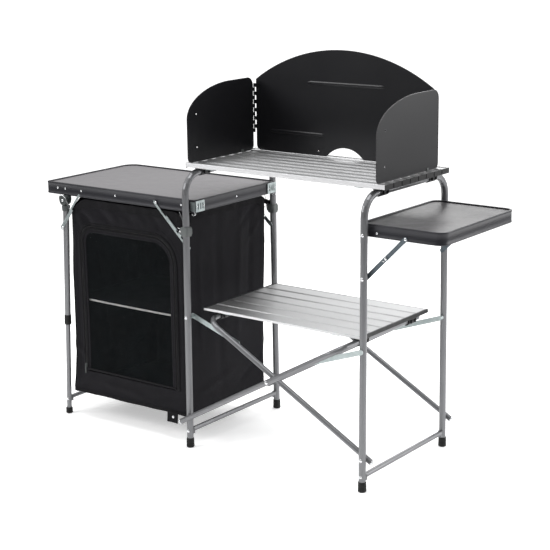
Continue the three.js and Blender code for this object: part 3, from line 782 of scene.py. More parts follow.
def bag_point(s, z, proud=0.0):
    """A point of the sewn shell: s runs round it from the front left corner, along the front first."""
    lengths = (BAG_WIDE - 2 * CORNER, BAG_DEEP - 2 * CORNER) * 2
    turn = math.pi * CORNER / 2
    place = Vector((BAG_LOW.x + CORNER, BAG_LOW.y))
    heading = Vector((1, 0))
    left = s % bag_round()
    for length in lengths:
        outward = Vector((heading.y, -heading.x))
        if left <= length:
            place = place + heading * left
            break
        place = place + heading * length
        left -= length
        if left <= turn:
            angle = left / CORNER
            centre = place - outward * CORNER
            outward = outward * math.cos(angle) + heading * math.sin(angle)
            place = centre + outward * CORNER
            break
        centre = place - outward * CORNER
        place = centre + heading * CORNER
        heading = -outward
        left -= turn
    push = proud
    if outward.y < 0:
        push += front_push(place.x, z) * -outward.y
    if outward.y > 0:
        push += back_push(place.x, z) * outward.y
    if outward.x > 0:
        push += right_push(place.y, z) * outward.x
    if outward.x < 0:
        push += left_push(place.y, z) * -outward.x
    return Vector((place.x + outward.x * push, place.y + outward.y * push, z))


def bag_round():
    return 2 * (BAG_WIDE + BAG_DEEP) - 8 * CORNER + 2 * math.pi * CORNER


def corner_run(index):
    """How far round the shell a corner lies: 0 front right, 1 rear right, 2 rear left, 3 front left."""
    turn = math.pi * CORNER / 2
    run = 0.0
    for i, length in enumerate((BAG_WIDE - 2 * CORNER, BAG_DEEP - 2 * CORNER) * 2):
        run += length + turn / 2
        if i == index:
            return run
        run += turn / 2
    return run


def bag_top(s):
    """The top edge dips a little at each corner, where the cloth is only stitched to a strap."""
    dip = 0.0
    for index, (reach, depth) in enumerate(((42, 11), (42, 14), (42, 11), (64, 30))):
        gap = abs((s - corner_run(index) + bag_round() / 2) % bag_round() - bag_round() / 2)
        dip = max(dip, depth * MM * (1 - ease(0, reach * MM, gap)))
    return BAG_HIGH.z - 1.0 * MM - dip


def bag_bottom(s):
    wave = math.sin(s * 23) * 0.8 + math.sin(s * 51 + 2) * 0.5
    return BAG_LOW.z + (0.8 + wave) * MM


def door_depth(x, z):
    """How far outside the door's outline a point of the front lies; negative inside."""
    if z > DOOR_HIGH.z - DOOR_SMALL and x < DOOR_LOW.x + DOOR_SMALL:
        return math.hypot(x - DOOR_LOW.x - DOOR_SMALL, z - DOOR_HIGH.z + DOOR_SMALL) - DOOR_SMALL
    if z > DOOR_HIGH.z - DOOR_LARGE and x > DOOR_HIGH.x - DOOR_LARGE:
        return math.hypot(x - DOOR_HIGH.x + DOOR_LARGE, z - DOOR_HIGH.z + DOOR_LARGE) - DOOR_LARGE
    return max(DOOR_LOW.x - x, x - DOOR_HIGH.x, DOOR_LOW.z - z, z - DOOR_HIGH.z)


def flap_depth(x, z):
    """As door_depth, but the bottom edge, where the door is sewn on, is left out."""
    return door_depth(x, max(z, (DOOR_LOW.z + DOOR_HIGH.z) / 2))


def to_outline(x, z, level, depth=door_depth):
    """Moves a point of the front onto the line where the depth equals level."""
    for _ in range(4):
        step = 0.2 * MM
        slope_x = depth(x + step, z) - depth(x - step, z)
        slope_z = depth(x, z + step) - depth(x, z - step)
        slope = Vector((slope_x, slope_z)) / (2 * step)
        if slope.length < 0.1:
            return x, z
        gap = (depth(x, z) - level) / slope.length_squared
        x -= slope.x * gap
        z -= slope.y * gap
    return x, z


def front_point(x, z, proud=0.0):
    return Vector((x, BAG_LOW.y - front_push(x, z) - proud, z))


def cut_cloth(name, verts, faces, paint, body, thick):
    """A piece from the faces whose corners are all there; points cut away are None."""
    faces = [face for face in faces if all(verts[i] is not None for i in face)]
    used = sorted({i for face in faces for i in face})
    index = {old: new for new, old in enumerate(used)}
    kept = [[index[i] for i in face] for face in faces]
    return piece(name, [verts[i] for i in used], kept, paint, body, "polyester", solid=thick)


def sewn_shell():
    """The four walls in one, with the door's opening cut out along the door's outline."""
    columns, rows = 236, 88
    front_run = BAG_WIDE - 2 * CORNER
    verts = []
    for row in range(rows + 1):
        for column in range(columns):
            s = bag_round() * column / columns
            z = bag_bottom(s) + (bag_top(s) - bag_bottom(s)) * row / rows
            point = bag_point(s, z)
            if s < front_run and door_depth(point.x, z) < 0:
                rim_x, rim_z = to_outline(point.x, z, 0.0)
                near = math.hypot(rim_x - point.x, rim_z - z) < 11 * MM
                point = front_point(rim_x, rim_z) if near else None
            verts.append(point)

    def in_doorway(face):
        centre = sum((verts[i] for i in face), Vector()) / 4
        return centre.y < BAG_LOW.y + 20 * MM and door_depth(centre.x, centre.z) < 0.2 * MM

    faces = [face for face in row_faces(rows + 1, columns)
             if all(verts[i] is not None for i in face) and not in_doorway(face)]
    shell = cut_cloth("cupboard_shell", verts, faces, "cloth", "base", CLOTH)
    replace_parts(shell, "cupboard_front", "cupboard_left", "cupboard_right", "cupboard_back")


def door_sheet(name, paint, inner, outer, proud, thick):
    """A part of the door flap between two distances from its sides and top; inner None fills it."""
    step = 7 * MM
    bottom = DOOR_LOW.z + 2.5 * MM
    columns = round((DOOR_HIGH.x - DOOR_LOW.x) / step)
    rows = round((DOOR_HIGH.z - bottom) / step)
    verts = []
    for row in range(rows + 1):
        for column in range(columns + 1):
            x = DOOR_LOW.x + (DOOR_HIGH.x - DOOR_LOW.x) * column / columns
            z = bottom + (DOOR_HIGH.z - bottom) * row / rows
            depth = flap_depth(x, z)
            for level, beyond in ((outer, depth > outer), (inner, inner is not None and depth < inner)):
                if beyond and abs(depth - level) < 1.6 * step:
                    x, z = to_outline(x, z, level, flap_depth)
                    depth = flap_depth(x, z)
            inside = depth <= outer + 0.1 * MM and (inner is None or depth >= inner - 0.1 * MM)
            verts.append(front_point(x, z, proud) if inside else None)
    faces = row_faces(rows + 1, columns + 1, closed=False)
    return cut_cloth(name, verts, faces, paint, "cupboard_flap", thick)


def outline_line(grow):
    """The door's outline from its lower left corner, up, over the top and down, in (x, z), grown outward."""
    x0, x1, z1 = DOOR_LOW.x - grow, DOOR_HIGH.x + grow, DOOR_HIGH.z + grow
    small, large = DOOR_SMALL + grow, DOOR_LARGE + grow
    points = [(x0, DOOR_LOW.z)]
    points += arc((x0 + small, z1 - small), small, 180, 90, 10)
    points += arc((x1 - large, z1 - large), large, 90, 0, 14)
    points.append((x1, DOOR_LOW.z))
    return points


def spaced(points, gap):
    """Points at equal steps along a line in two coordinates, with the heading at each."""
    result = []
    carry = 0.0
    for a, b in zip(points, points[1:]):
        a, b = Vector(a), Vector(b)
        length = (b - a).length
        if length < 1e-9:
            continue
        heading = (b - a) / length
        while carry <= length:
            result.append((a + heading * carry, heading))
            carry += gap
        carry -= length
    return result


def front_strip(build, inner, outer, proud, thick):
    """A flat tape on the front of the shell between two offsets of the door's outline."""
    rows = []
    for point, heading in spaced(outline_line(inner), 6 * MM):
        away = Vector((-heading.y, heading.x)) * (outer - inner)
        near, far = point, point + away
        rows.append([front_point(near.x, near.y, proud), front_point(near.x, near.y, proud + thick),
                     front_point(far.x, far.y, proud + thick), front_point(far.x, far.y, proud)])
    build.strip(rows)


def stitches(build, points, to_space, gap=5.2 * MM, length=3.4 * MM, width=0.8 * MM):
    """A row of stitches along a line; to_space turns its two coordinates into a place just off the cloth."""
    for point, heading in spaced(points, gap):
        side = Vector((-heading.y, heading.x)) * width / 2
        run = heading * length / 2
        corners = [point - run - side, point + run - side, point + run + side, point - run + side]
        base = [to_space(c.x, c.y, 0.3 * MM) for c in corners]
        mid = [to_space(point.x + k * run.x * 0.6, point.y + k * run.y * 0.6, 1.0 * MM) for k in (-1, 1)]
        build.take(base + mid, [(0, 1, 5, 4), (3, 4, 5, 2), (0, 4, 3), (1, 2, 5), (0, 3, 2, 1)])


def band(name, z_from, z_to, thick):
    """A band of webbing right round the shell."""
    count = 236
    proud = 0.6 * MM
    rows = []
    for i in range(count):
        s = bag_round() * i / count
        bottom, top = z_from(s), z_to(s)
        rows.append([bag_point(s, bottom, proud), bag_point(s, bottom, proud + thick),
                     bag_point(s, top, proud + thick), bag_point(s, top, proud)])
    return Builder().strip(rows, looped=True).make(name, "hem", "base", "polyester", bevel=0.3 * MM)


def door_flap():
    """The mesh with its border, and the tape sewn across its bottom edge."""
    border = door_sheet("door_border", "cloth", -19 * MM, -1.5 * MM, 0.3 * MM, CLOTH)
    window = door_sheet("door_window_net", "net", None, -15 * MM, -0.2 * MM, 0.0)
    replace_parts(window, "cupboard_door")
    z, height, inner, outer = DOOR_LOW.z + 3 * MM, 7 * MM, 1.3 * MM, 2.0 * MM
    left, right = DOOR_LOW.x + 7 * MM, DOOR_HIGH.x - 3 * MM
    rows = []
    for i in range(51):
        x = left + (right - left) * i / 50
        rows.append([front_point(x, z, inner), front_point(x, z, outer),
                     front_point(x, z + height, outer), front_point(x, z + height, inner)])
    Builder().strip(rows).make("door_sill_tape", "hem", "cupboard_flap", "polyester")


def door_zip():
    """Two tapes, the coil between them, a slider at the lower left corner and the stitching."""
    for name, body, inner, outer in (("zip_tape_outer", "base", 1.6 * MM, 11 * MM),
                                     ("zip_tape_inner", "cupboard_flap", -10 * MM, -1.6 * MM)):
        tape = Builder()
        front_strip(tape, inner, outer, 0.5 * MM, 0.4 * MM)
        tape.make(name, "hem", body, "polyester")
    teeth = Builder()
    for i, (point, heading) in enumerate(spaced(outline_line(0.0), 2.6 * MM)):
        normal = Vector((-heading.y, heading.x))
        place = point + normal * (0.35 * MM if i % 2 else -0.35 * MM)
        side = normal * 1.9 * MM
        run = heading * 0.85 * MM
        verts = []
        for along, across, proud in ((1.0, 1.0, 0.8 * MM), (0.7, 0.6, 2.3 * MM)):
            for a, b in ((-1, -1), (1, -1), (1, 1), (-1, 1)):
                corner = place + run * a * along + side * b * across
                verts.append(front_point(corner.x, corner.y, proud))
        teeth.take(verts, row_faces(2, 4) + end_faces(2, 4))
    teeth.make("zip_coil", "zip", "base", "black_plastic", smooth=False)
    for word, body, grows in (("outer", "base", (8.5 * MM, 22.5 * MM)),
                              ("inner", "cupboard_flap", (-8.0 * MM, -18.0 * MM))):
        sewing = Builder()
        for grow in grows:
            stitches(sewing, outline_line(grow), lambda x, z, up: front_point(x, z, 0.9 * MM + up))
        sewing.make(f"door_stitching_{word}", "thread", body, "polyester", smooth=False)
    slider = Builder()
    at = front_point(DOOR_LOW.x, DOOR_LOW.z + 16 * MM, 2.0 * MM)
    slider.block(at - Vector((4, 1.2, 6)) * MM, at + Vector((4, 0.6, 6)) * MM)
    slider.block(at - Vector((2, 2.6, 4.5)) * MM, at + Vector((2, 0.0, 2.0)) * MM)
    hang = shifted(at, (0, -2.6, 2.0), (-0.5, -3.6, -8), (-1.2, -3.0, -24))
    slider.swept(smooth_line(hang), flat_section(4.6 * MM, 1.3 * MM), up=Vector((0, 1, 0)))
    slider.make("zip_sliders", "knuckle", "base", "black_plastic", bevel=0.5 * MM)


def cupboard_trim():
    """Top band, bottom binding, corner piping and the seams beside them."""
    # The top band's dark webbing is painted shade under the counter's edge as well as the band itself.
    hem = band("cupboard_top_band", lambda s: bag_top(s) - 24 * MM, lambda s: bag_top(s) + 0.4 * MM, 0.9 * MM)
    foot = band("cupboard_foot_binding", lambda s: bag_bottom(s) - 0.6 * MM, lambda s: bag_bottom(s) + 9 * MM,
                0.8 * MM)
    piping = Builder()
    seams = Builder()

    def sewn_at(proud):
        return lambda s, z, up: bag_point(s, z, proud + up)

    round_shell = [bag_round() * i / 160 for i in range(161)]
    for drop in (21 * MM, 4 * MM):
        stitches(seams, [(s, bag_top(s) - drop) for s in round_shell], sewn_at(1.5 * MM))
    stitches(seams, [(s, bag_bottom(s) + 6 * MM) for s in round_shell], sewn_at(1.4 * MM))
    for index in range(4):
        middle_run = corner_run(index)
        bottom, top = bag_bottom(middle_run), bag_top(middle_run)
        line = [bag_point(middle_run, bottom + (top - bottom) * i / 40, 1.0 * MM) for i in range(41)]
        piping.swept(line, round_section(1.7 * MM, 8), up=Vector((1, 1, 0)))
        for s in (middle_run - 5.5 * MM, middle_run + 5.5 * MM):
            stitches(seams, [(s, bag_bottom(s) + 12 * MM), (s, bag_top(s) - 28 * MM)], sewn_at(0.7 * MM))
    piping.make("cupboard_corner_piping", "hem", "base", "polyester")
    seams.make("cupboard_seam_stitching", "thread", "base", "polyester", smooth=False)


def cupboard_shelf():
    """The stiff middle shelf in its sleeve: a wired rim, a sagging top and bottom, and a pale front edge."""
    lo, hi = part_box("cupboard_shelf")
    build = Builder()
    inset = 7 * MM
    level = (lo.z + hi.z) / 2
    outline = rounded_outline(lo.x + inset, hi.x - inset, lo.y + inset, hi.y - inset, 12 * MM, 4)
    build.swept([Vector((x, y, level)) for x, y in outline], round_section(3.0 * MM, 8, 0.8), closed=True)
    columns, rows = 24, 20
    for face_z in (lo.z + 0.6 * MM, hi.z - 0.6 * MM):
        verts = []
        for row in range(rows + 1):
            for column in range(columns + 1):
                u, v = column / columns, row / rows
                x = lo.x + inset + (hi.x - lo.x - 2 * inset) * u
                y = lo.y + inset + (hi.y - lo.y - 2 * inset) * v
                sag = -2.0 * MM * math.sin(math.pi * u) * math.sin(math.pi * v)
                wave = noise.noise(Vector((x * 20, y * 20, 7))) * 0.8 * MM
                verts.append((x, y, face_z + sag + wave))
        build.take(verts, row_faces(rows + 1, columns + 1, closed=False))
    shelf = build.make("cupboard_middle_shelf", "sleeve", "base", "cupboard_board")
    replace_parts(shelf, "cupboard_shelf")
    start, run = lo.x + 14 * MM, hi.x - lo.x - 28 * MM
    line = []
    for i in range(13):
        dip = 1.6 * MM * math.sin(math.pi * i / 12)
        line.append(Vector((start + run * i / 12, lo.y + 4 * MM, level - dip)))
    strip = Builder().swept(line, flat_section(1.6 * MM, 5.4 * MM))
    strip.make("cupboard_shelf_front_edge", "pale_edge", "base", "cupboard_board")


def cupboard_floor():
    lo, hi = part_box("cupboard_floor")
    inset = 6 * MM
    outline = rounded_outline(lo.x + inset, hi.x - inset, lo.y + inset, hi.y - inset, 10 * MM, 4)
    mat = Builder().prism(outline, upright, lo.z + 0.6 * MM, lo.z + 10.8 * MM)
    base = mat.make("cupboard_floor_mat", "sleeve", "base", "cupboard_board", bevel=1.5 * MM)
    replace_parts(base, "cupboard_floor")


def cupboard_underside():
    """The bottom panel, sewn to the walls and lying under the floor board."""
    count = 120
    under = low("cupboard_floor").z + 0.1 * MM
    centre = middle("cupboard_floor")
    shares = (1.0, 0.97, 0.6, 0.2)
    verts = []
    for share in shares:
        for i in range(count):
            s = bag_round() * i / count
            edge = bag_point(s, bag_bottom(s) + 7 * MM, -0.2 * MM)
            place = centre + (edge - centre) * share
            place.z = edge.z if share == 1.0 else under
            verts.append(place)
    faces = row_faces(len(shares), count)
    faces.append(tuple(range(len(verts) - count, len(verts))))
    panel = piece("cupboard_underside", verts, faces, "sleeve", "base", "polyester")


def pull_tab():
    """A webbing tab hanging from the bottom edge, with a snap and a short row of bar tacks."""
    wide = 40 * MM
    x0 = BAG_HIGH.x - 88 * MM
    top, bottom = BAG_LOW.z + 6 * MM, BAG_LOW.z - 27 * MM
    columns, rows = 10, 8
    verts = []
    for row in range(rows + 1):
        for column in range(columns + 1):
            u, v = column / columns, row / rows
            x = x0 + wide * u
            curl = 1.6 * MM * math.sin(math.pi * u) * v - 2.5 * MM * v * v
            verts.append((x, BAG_LOW.y - front_push(x, top) - 1.6 * MM + curl, top + (bottom - top) * v))
    faces = row_faces(rows + 1, columns + 1, closed=False)
    tab = piece("cupboard_pull_tab", verts, faces, "hem", "base", "polyester", solid=1.2 * MM)
    y = BAG_LOW.y - front_push(x0, BAG_LOW.z) - 2.4 * MM
    snap = Builder()
    for radius, height in in_mm((4.2, 1.0), (2.4, 1.8)):
        profile = [(radius, -0.4 * MM), (radius, height * 0.5), (radius * 0.8, height)]
        snap.turned((x0 + 22 * MM, y, BAG_LOW.z - 10 * MM), (0, -1, 0), profile, 16)
    for i in range(5):
        corner = Vector((x0 + (3.6 + 7 * i) * MM, y - 0.2 * MM, bottom + 5 * MM))
        snap.block(corner, corner + Vector((4.8, 0.7, 1.2)) * MM)
    snap.make("cupboard_tab_snap", "rivet", "base", "zinc", bevel=0.2 * MM)


def corner_straps():
    """Two webbing straps from the right corners of the cupboard to the collars of the left arch."""
    straps = Builder()
    for index, y in ((0, low("leg_collar_front").y + 8 * MM), (1, high("leg_collar_rear").y - 8 * MM)):
        s = corner_run(index)
        z = bag_top(s) - 9 * MM
        start = bag_point(s, z, 1.6 * MM)
        end = Vector((LEFT_X - TUBE * 0.5, y, high("leg_collar_front").z + 10 * MM))
        sag = (start + end) / 2 + Vector((2, 0, -6)) * MM
        route = smooth_line([bag_point(s - 30 * MM, z, 1.8 * MM), start, sag, end])
        straps.swept(route, flat_section(1.4 * MM, 14 * MM))
    strap = straps.make("cupboard_corner_straps", "hem", "base", "polyester")


sewn_shell()
door_flap()
door_zip()
cupboard_trim()
cupboard_shelf()
cupboard_floor()
cupboard_underside()
pull_tab()
corner_straps()


# ---- windshield --------------------------------------------------------------------------------

SHEET = 1.6 * MM
HINGE_Y = high("shield_wing_left").y + 2.8 * MM
RIGHT_HINGE_X = high("shield_back").x - 2.4 * MM
BACK_Y = high("shield_back").y - SHEET / 2
HOLE_HEIGHTS = (858 * MM, 950 * MM)
HINGE_LOW, HINGE_HIGH = 868 * MM, 1010 * MM


def plate_between(build, outline, holes, to_space, thick):
    """A flat plate from an outline in two coordinates, with holes, as one triangulated solid."""
    bm = bmesh.new()
    loops = []
    for loop in [outline, *holes]:
        made = [bm.verts.new((p[0], p[1], 0)) for p in loop]
        loops += [bm.edges.new((made[i], made[(i + 1) % len(made)])) for i in range(len(made))]
    bmesh.ops.triangle_fill(bm, use_beauty=True, use_dissolve=False, edges=loops)
    bm.verts.index_update()
    flat = [v.co.copy() for v in bm.verts]
    triangles = [tuple(v.index for v in f.verts) for f in bm.faces]
    rim = [tuple(v.index for v in e.verts) for e in bm.edges if len(e.link_faces) == 1]
    bm.free()
    count = len(flat)
    verts = [to_space(p.x, p.y, -thick / 2) for p in flat] + [to_space(p.x, p.y, thick / 2) for p in flat]
    faces = [t[::-1] for t in triangles] + [tuple(i + count for i in t) for t in triangles]
    faces += [(a, b, b + count, a + count) for a, b in rim]
    build.take(verts, faces)


def ring_points(x, z, radius, sides=14):
    return arc((x, z), radius, 0, 360, sides)[:-1]


def low_arch_radius(half, rise):
    """The radius of an arc that rises over a chord of twice the half width, and half its sweep in degrees."""
    radius = (half * half + rise * rise) / (2 * rise)
    return radius, math.degrees(math.asin(half / radius))


def on_back(x, z, out):
    return Vector((x, BACK_Y + out, z))


def panel_with_rim(name, node, body, outline, holes, to_space, up):
    """A painted sheet with a rolled rim round its outline and round each hole; the rim's lighter paint is a
    painted highlight along the edges.
    """
    panel = Builder()
    plate_between(panel, outline, holes, to_space, SHEET)
    made = panel.make(f"{name}_panel", "shield", body, "painted_sheet", smooth=False, bevel=0.35 * MM)
    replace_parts(made, node)
    rim = Builder()
    rim.swept([to_space(p, q, 0) for p, q in outline], round_section(1.05 * MM, 8), closed=True, up=up)
    for hole in holes:
        rim.swept([to_space(p, q, 0) for p, q in hole], round_section(0.95 * MM, 6), closed=True, up=up)
    rim.make(f"{name}_rim", "rim", body, "painted_sheet")


def shield_back():
    lo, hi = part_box("shield_back")
    left, right = LEFT_X + 6 * MM, RIGHT_HINGE_X - 6 * MM
    wide = right - left
    corner = 14 * MM
    shoulder = 1022 * MM
    radius, sweep = low_arch_radius(wide / 2, hi.z - shoulder)
    cut_rise = 28 * MM
    cut_radius, cut_sweep = low_arch_radius(62 * MM, cut_rise)
    cut_centre = ((left + right) / 2 + 8 * MM, lo.z + cut_rise - cut_radius)
    outline = [(left + corner, lo.z)]
    outline += arc(cut_centre, cut_radius, 90 + cut_sweep, 90 - cut_sweep, 16)
    outline += arc((right - corner, lo.z + corner), corner, -90, 0, 6)
    outline += arc(((left + right) / 2, hi.z - radius), radius, 90 - sweep, 90 + sweep, 36)
    outline += arc((left + corner, lo.z + corner), corner, 180, 270, 6)[:-1]
    panel_with_rim("windshield_back", "shield_back", "windshield", outline, [], on_back, Vector((0, 1, 0)))
    ribs = Builder()
    pressed_rib(ribs, left + wide * 0.30, left + wide * 0.735, shoulder)
    pressed_rib(ribs, left + wide * 0.08, left + wide * 0.40, lo.z + 58 * MM)
    ribs.make("windshield_pressed_ribs", "shield", "windshield", "painted_sheet")
    studs = Builder()
    for share in (0.365, 0.80):
        for side in (-1, 1):
            at = on_back(left + wide * share, lo.z + 12 * MM, side * SHEET / 2)
            rivet(studs, at, (0, side, 0), 2.4 * MM, 1.3 * MM)
    studs.make("windshield_studs", "rivet", "windshield", "zinc")
    piano_hinge("left", LEFT_X, left)
    piano_hinge("right", RIGHT_HINGE_X, right)


def pressed_rib(build, start, end, z):
    """A long half-round swelling on the front of the back panel, tapered at both ends."""
    steps, sides = 36, 6
    verts = []
    for i in range(steps + 1):
        swell = min(1.0, math.sin(math.pi * i / steps) * 6) ** 0.5
        for k in range(sides + 1):
            angle = math.pi * k / sides
            up = 5.5 * MM * swell * math.cos(angle)
            out = -SHEET / 2 + 0.05 * MM - 1.7 * MM * swell * math.sin(angle)
            verts.append(on_back(start + (end - start) * i / steps, z + up, out))
    build.take(verts, row_faces(steps + 1, sides + 1, closed=False))


def piano_hinge(word, x, edge):
    """Knuckles round a pin: every other one belongs to the wing, the rest to the back panel."""
    count = 12
    pitch = (HINGE_HIGH - HINGE_LOW) / count
    tall = pitch - 0.8 * MM
    way = 1 if edge > x else -1
    up = (0, 0, 1)
    barrel = [(2.3 * MM, 0), (2.5 * MM, 0.3 * MM), (2.5 * MM, tall - 0.3 * MM), (2.3 * MM, tall)]
    fixed, moving = Builder(), Builder()
    for i in range(count):
        z0 = HINGE_LOW + i * pitch + 0.4 * MM
        owner = fixed if i % 2 else moving
        owner.turned((x, HINGE_Y, z0), up, barrel, 12)
        if i % 2:
            x0, x1 = sorted((x, edge + way * 10 * MM))
            owner.block((x0, HINGE_Y + 1.5 * MM, z0), (x1, HINGE_Y + 2.3 * MM, z0 + tall))
        else:
            owner.block((x - 1.4 * MM, HINGE_Y - 16 * MM, z0), (x - 0.75 * MM, HINGE_Y, z0 + tall))
    for z in (HINGE_LOW + 18 * MM, (HINGE_LOW + HINGE_HIGH) / 2, HINGE_HIGH - 18 * MM):
        rivet(fixed, (edge + way * 6 * MM, BACK_Y - SHEET / 2, z), (0, -1, 0), 2.2 * MM, 1.0 * MM)
    pin = [(0.9 * MM, 0), (0.9 * MM, HINGE_HIGH - HINGE_LOW + 2 * MM)]
    fixed.turned((x, HINGE_Y, HINGE_LOW - 1 * MM), up, pin, 8)
    for kind, build, body in (("fixed", fixed, "windshield"), ("moving", moving, f"wing_{word}")):
        build.make(f"windshield_hinge_{word}_{kind}", "shield", body, "painted_sheet", bevel=0.25 * MM)


def shield_wing(word, front_gap, rear_grow, shift):
    """A side wing: a quarter ellipse at the front, a rounded rear corner, two holes and a clip below."""
    node = f"shield_wing_{word}"
    lo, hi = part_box(node)
    x = (lo.x + hi.x) / 2 + shift
    front, rear = lo.y + front_gap, hi.y + rear_grow
    corner = 14 * MM
    shoulder = 24 * MM
    drop = 90 * MM
    reach = 196 * MM
    outline = [(front + corner, lo.z)]
    outline += arc((rear - corner, lo.z + corner), corner, -90, 0, 6)
    outline += arc((rear - shoulder, hi.z - shoulder), shoulder, 0, 90, 8)
    for i in range(1, 23):
        a = math.radians(90 + 90 * i / 22)
        outline.append((front + reach + reach * math.cos(a), hi.z - drop + drop * math.sin(a)))
    outline += arc((front + corner, lo.z + corner), corner, 180, 270, 6)[:-1]
    holes = [ring_points(front + 40 * MM, z, 3 * MM) for z in HOLE_HEIGHTS]

    def place(y, z, out):
        return Vector((x + out, y, z))

    name, body = f"windshield_wing_{word}", f"wing_{word}"
    panel_with_rim(name, node, body, outline, holes, place, Vector((1, 0, 0)))
    clip = Builder()
    y = front + (rear - front) * 0.82
    clip.block((x - 2.6 * MM, y - 5 * MM, lo.z - 0.2 * MM), (x + 2.6 * MM, y + 5 * MM, lo.z + 7 * MM))
    clip.make(f"{name}_clip", "grey", body, "grey_plastic", bevel=0.8 * MM)


shield_back()
shield_wing("left", 0.0, -3.0 * MM, -1.0 * MM)
shield_wing("right", 2.0 * MM, 5.0 * MM, 1.0 * MM)


# ---- frame hardware ----------------------------------------------------------------------------


LEG_BOLT = in_mm((5.2, 0), (5.2, 0.7), (3.6, 0.8), (3.4, 2.0), (2.4, 2.7), (0.3, 2.9))
CENTRE_BOLT = in_mm((5.4, -0.6), (5.4, 0.6), (3.8, 0.8), (3.4, 2.2), (2.2, 3.0), (0.3, 3.2))
RAIL_BOLT = in_mm((4.6, 0), (4.6, 0.7), (3.2, 0.8), (3.0, 2.0), (0.3, 2.7))


def perforated_bar(build, start, end, width, thick, slots):
    """A flat bar with round ends between two rivet centres; slots lists (share along it, slot length)."""
    along = (end - start).normalized()
    facing = Vector((0, 1, 0))
    deep = (facing - along * facing.dot(along)).normalized()
    wide = deep.cross(along)
    length = (end - start).length
    radius = width * 0.17
    outline = arc((length, 0), width / 2, -90, 90, 8) + arc((0, 0), width / 2, 90, 270, 8)
    holes = []
    for share, long in slots:
        near, far = length * share - long / 2, length * share + long / 2
        holes.append(arc((far, 0), radius, -90, 90, 5) + arc((near, 0), radius, 90, 270, 5))
    plate_between(build, outline, holes, lambda p, q, out: start + along * p + wide * q + deep * out, thick)


def strut(name, word, side, start, end, slots, riveted):
    """One perforated strut, with a rivet at each place in riveted."""
    node = f"{name}_{word}"
    build = Builder()
    perforated_bar(build, start, end, 15.5 * MM, 2 * MM, slots)
    bar = build.make(f"{node}_bar", "zinc", "base", "zinc", smooth=False, bevel=0.4 * MM)
    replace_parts(bar, node)
    heads = Builder()
    out = Vector((0, side, 0))
    for at in riveted:
        rivet(heads, at + out * 1 * MM, out, 4.0 * MM, 2.2 * MM)
    heads.make(f"{node}_rivets", "rivet", "base", "zinc")


def struts():
    """Outer struts run from inside the counter's edge to its legs, inner ones from the edge to the arch."""
    half = 7.44 * MM
    edge = high("counter_edge").y
    for word, side in SIDES:
        lo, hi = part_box(f"outer_strut_{word}")
        face = lo.y + 1 * MM if side < 0 else hi.y - 1 * MM
        start = Vector((hi.x - half, (edge - 3.6 * MM) * side, hi.z - half))
        end = Vector((lo.x + half, face, lo.z + half))
        strut("outer_strut", word, side, start, end, [(0.5, 0)], [end])
        lo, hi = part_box(f"inner_strut_{word}")
        start = Vector((lo.x + half, (edge + 2.2 * MM) * side, hi.z - half))
        end = Vector((hi.x - half, (lo.y + hi.y) / 2, lo.z + half))
        slots = [(0.30, 0), (0.66, 5 * MM), (0.80, 5 * MM)]
        strut("inner_strut", word, side, start, end, slots, [start, end])


def leg_bolts():
    """Bolt heads on the outer faces of the legs, at every pivot and rail end."""
    rails = {"base": (50 * MM,), "right_frame": (42 * MM,)}
    braces = {"base": (), "right_frame": (690 * MM, 576 * MM)}
    for body, x in (("base", LEFT_X), ("right_frame", RIGHT_X)):
        build = Builder()
        for z in (SCISSOR_PIVOT_Z, LINK_PIVOT_Z, *rails[body], *braces[body]):
            for _, side in SIDES:
                leg_y = (200 + 8 * (1 - z / CROSSBAR_Z)) * MM
                build.turned((x, side * (leg_y + TUBE - 0.4 * MM), z), (0, side, 0), LEG_BOLT, 16)
        build.make(f"leg_bolts_{body}", "rivet", body, "zinc")


def tube_lines(name):
    """How far forward and back the middle lines of a scissor tube's two legs lie."""
    lo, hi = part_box(f"{name}_scissor")
    return lo.y + SCISSOR_TUBE, hi.y - SCISSOR_TUBE


def scissor_bolts():
    """The centre bolts, and the spacers between the two tubes."""
    x = (LEFT_X + RIGHT_X) / 2
    z = SCISSOR_PIVOT_Z + SCISSOR_SLOPE * (RIGHT_X - LEFT_X) / 2
    outer, inner = tube_lines("outer"), tube_lines("inner")
    bolts = Builder()
    for y, side in ((outer[0], -1), (inner[1], 1)):
        bolts.turned((x, y + side * SCISSOR_TUBE, z), (0, side, 0), CENTRE_BOLT, 16)
    for pair in zip(outer, inner):
        start, end = min(pair) + SCISSOR_TUBE, max(pair) - SCISSOR_TUBE
        bolts.turned((x, start, z), (0, 1, 0), [(6.5 * MM, 0), (6.5 * MM, end - start)], 16)
    bolts.make("scissor_centre_bolts", "rivet", "outer_x", "zinc")


def scissor_ends():
    """The open ends of the tubes, a little past their pivots on the legs; a near-black disc in each mouth is
    painted shade for the hollow bore.
    """
    slope = math.atan(SCISSOR_SLOPE)
    past_pivot = 22 * MM
    rolled = SCISSOR_TUBE + 0.35 * MM
    ring = [(SCISSOR_TUBE + 0.1 * MM, 0), (rolled, 0.3 * MM), (rolled, 3.3 * MM)]
    ring += [(SCISSOR_TUBE * 0.80, 3.5 * MM), (SCISSOR_TUBE * 0.78, 3.1 * MM)]
    # Painted shade: a near-black disc across the tube's mouth.
    bore = [(SCISSOR_TUBE * 0.79, 0), (0.2 * MM, 0.02 * MM)]
    for name, foot_x, away in (("outer", LEFT_X, -1), ("inner", RIGHT_X, 1)):
        direction = Vector((away * math.cos(slope), 0, -math.sin(slope)))
        rings = Builder()
        bores = Builder()
        for y in tube_lines(name):
            end = Vector((foot_x, y, SCISSOR_PIVOT_Z)) + direction * past_pivot
            rings.turned(end - direction * 3 * MM, direction, ring, 20)
            bores.turned(end + direction * 0.06 * MM, direction, bore, 20)
        rings.make(f"{name}_scissor_end_rings", "rivet", f"{name}_x", "frame_tube")
        bores.make(f"{name}_scissor_bores", "tube_end", f"{name}_x", "frame_tube")


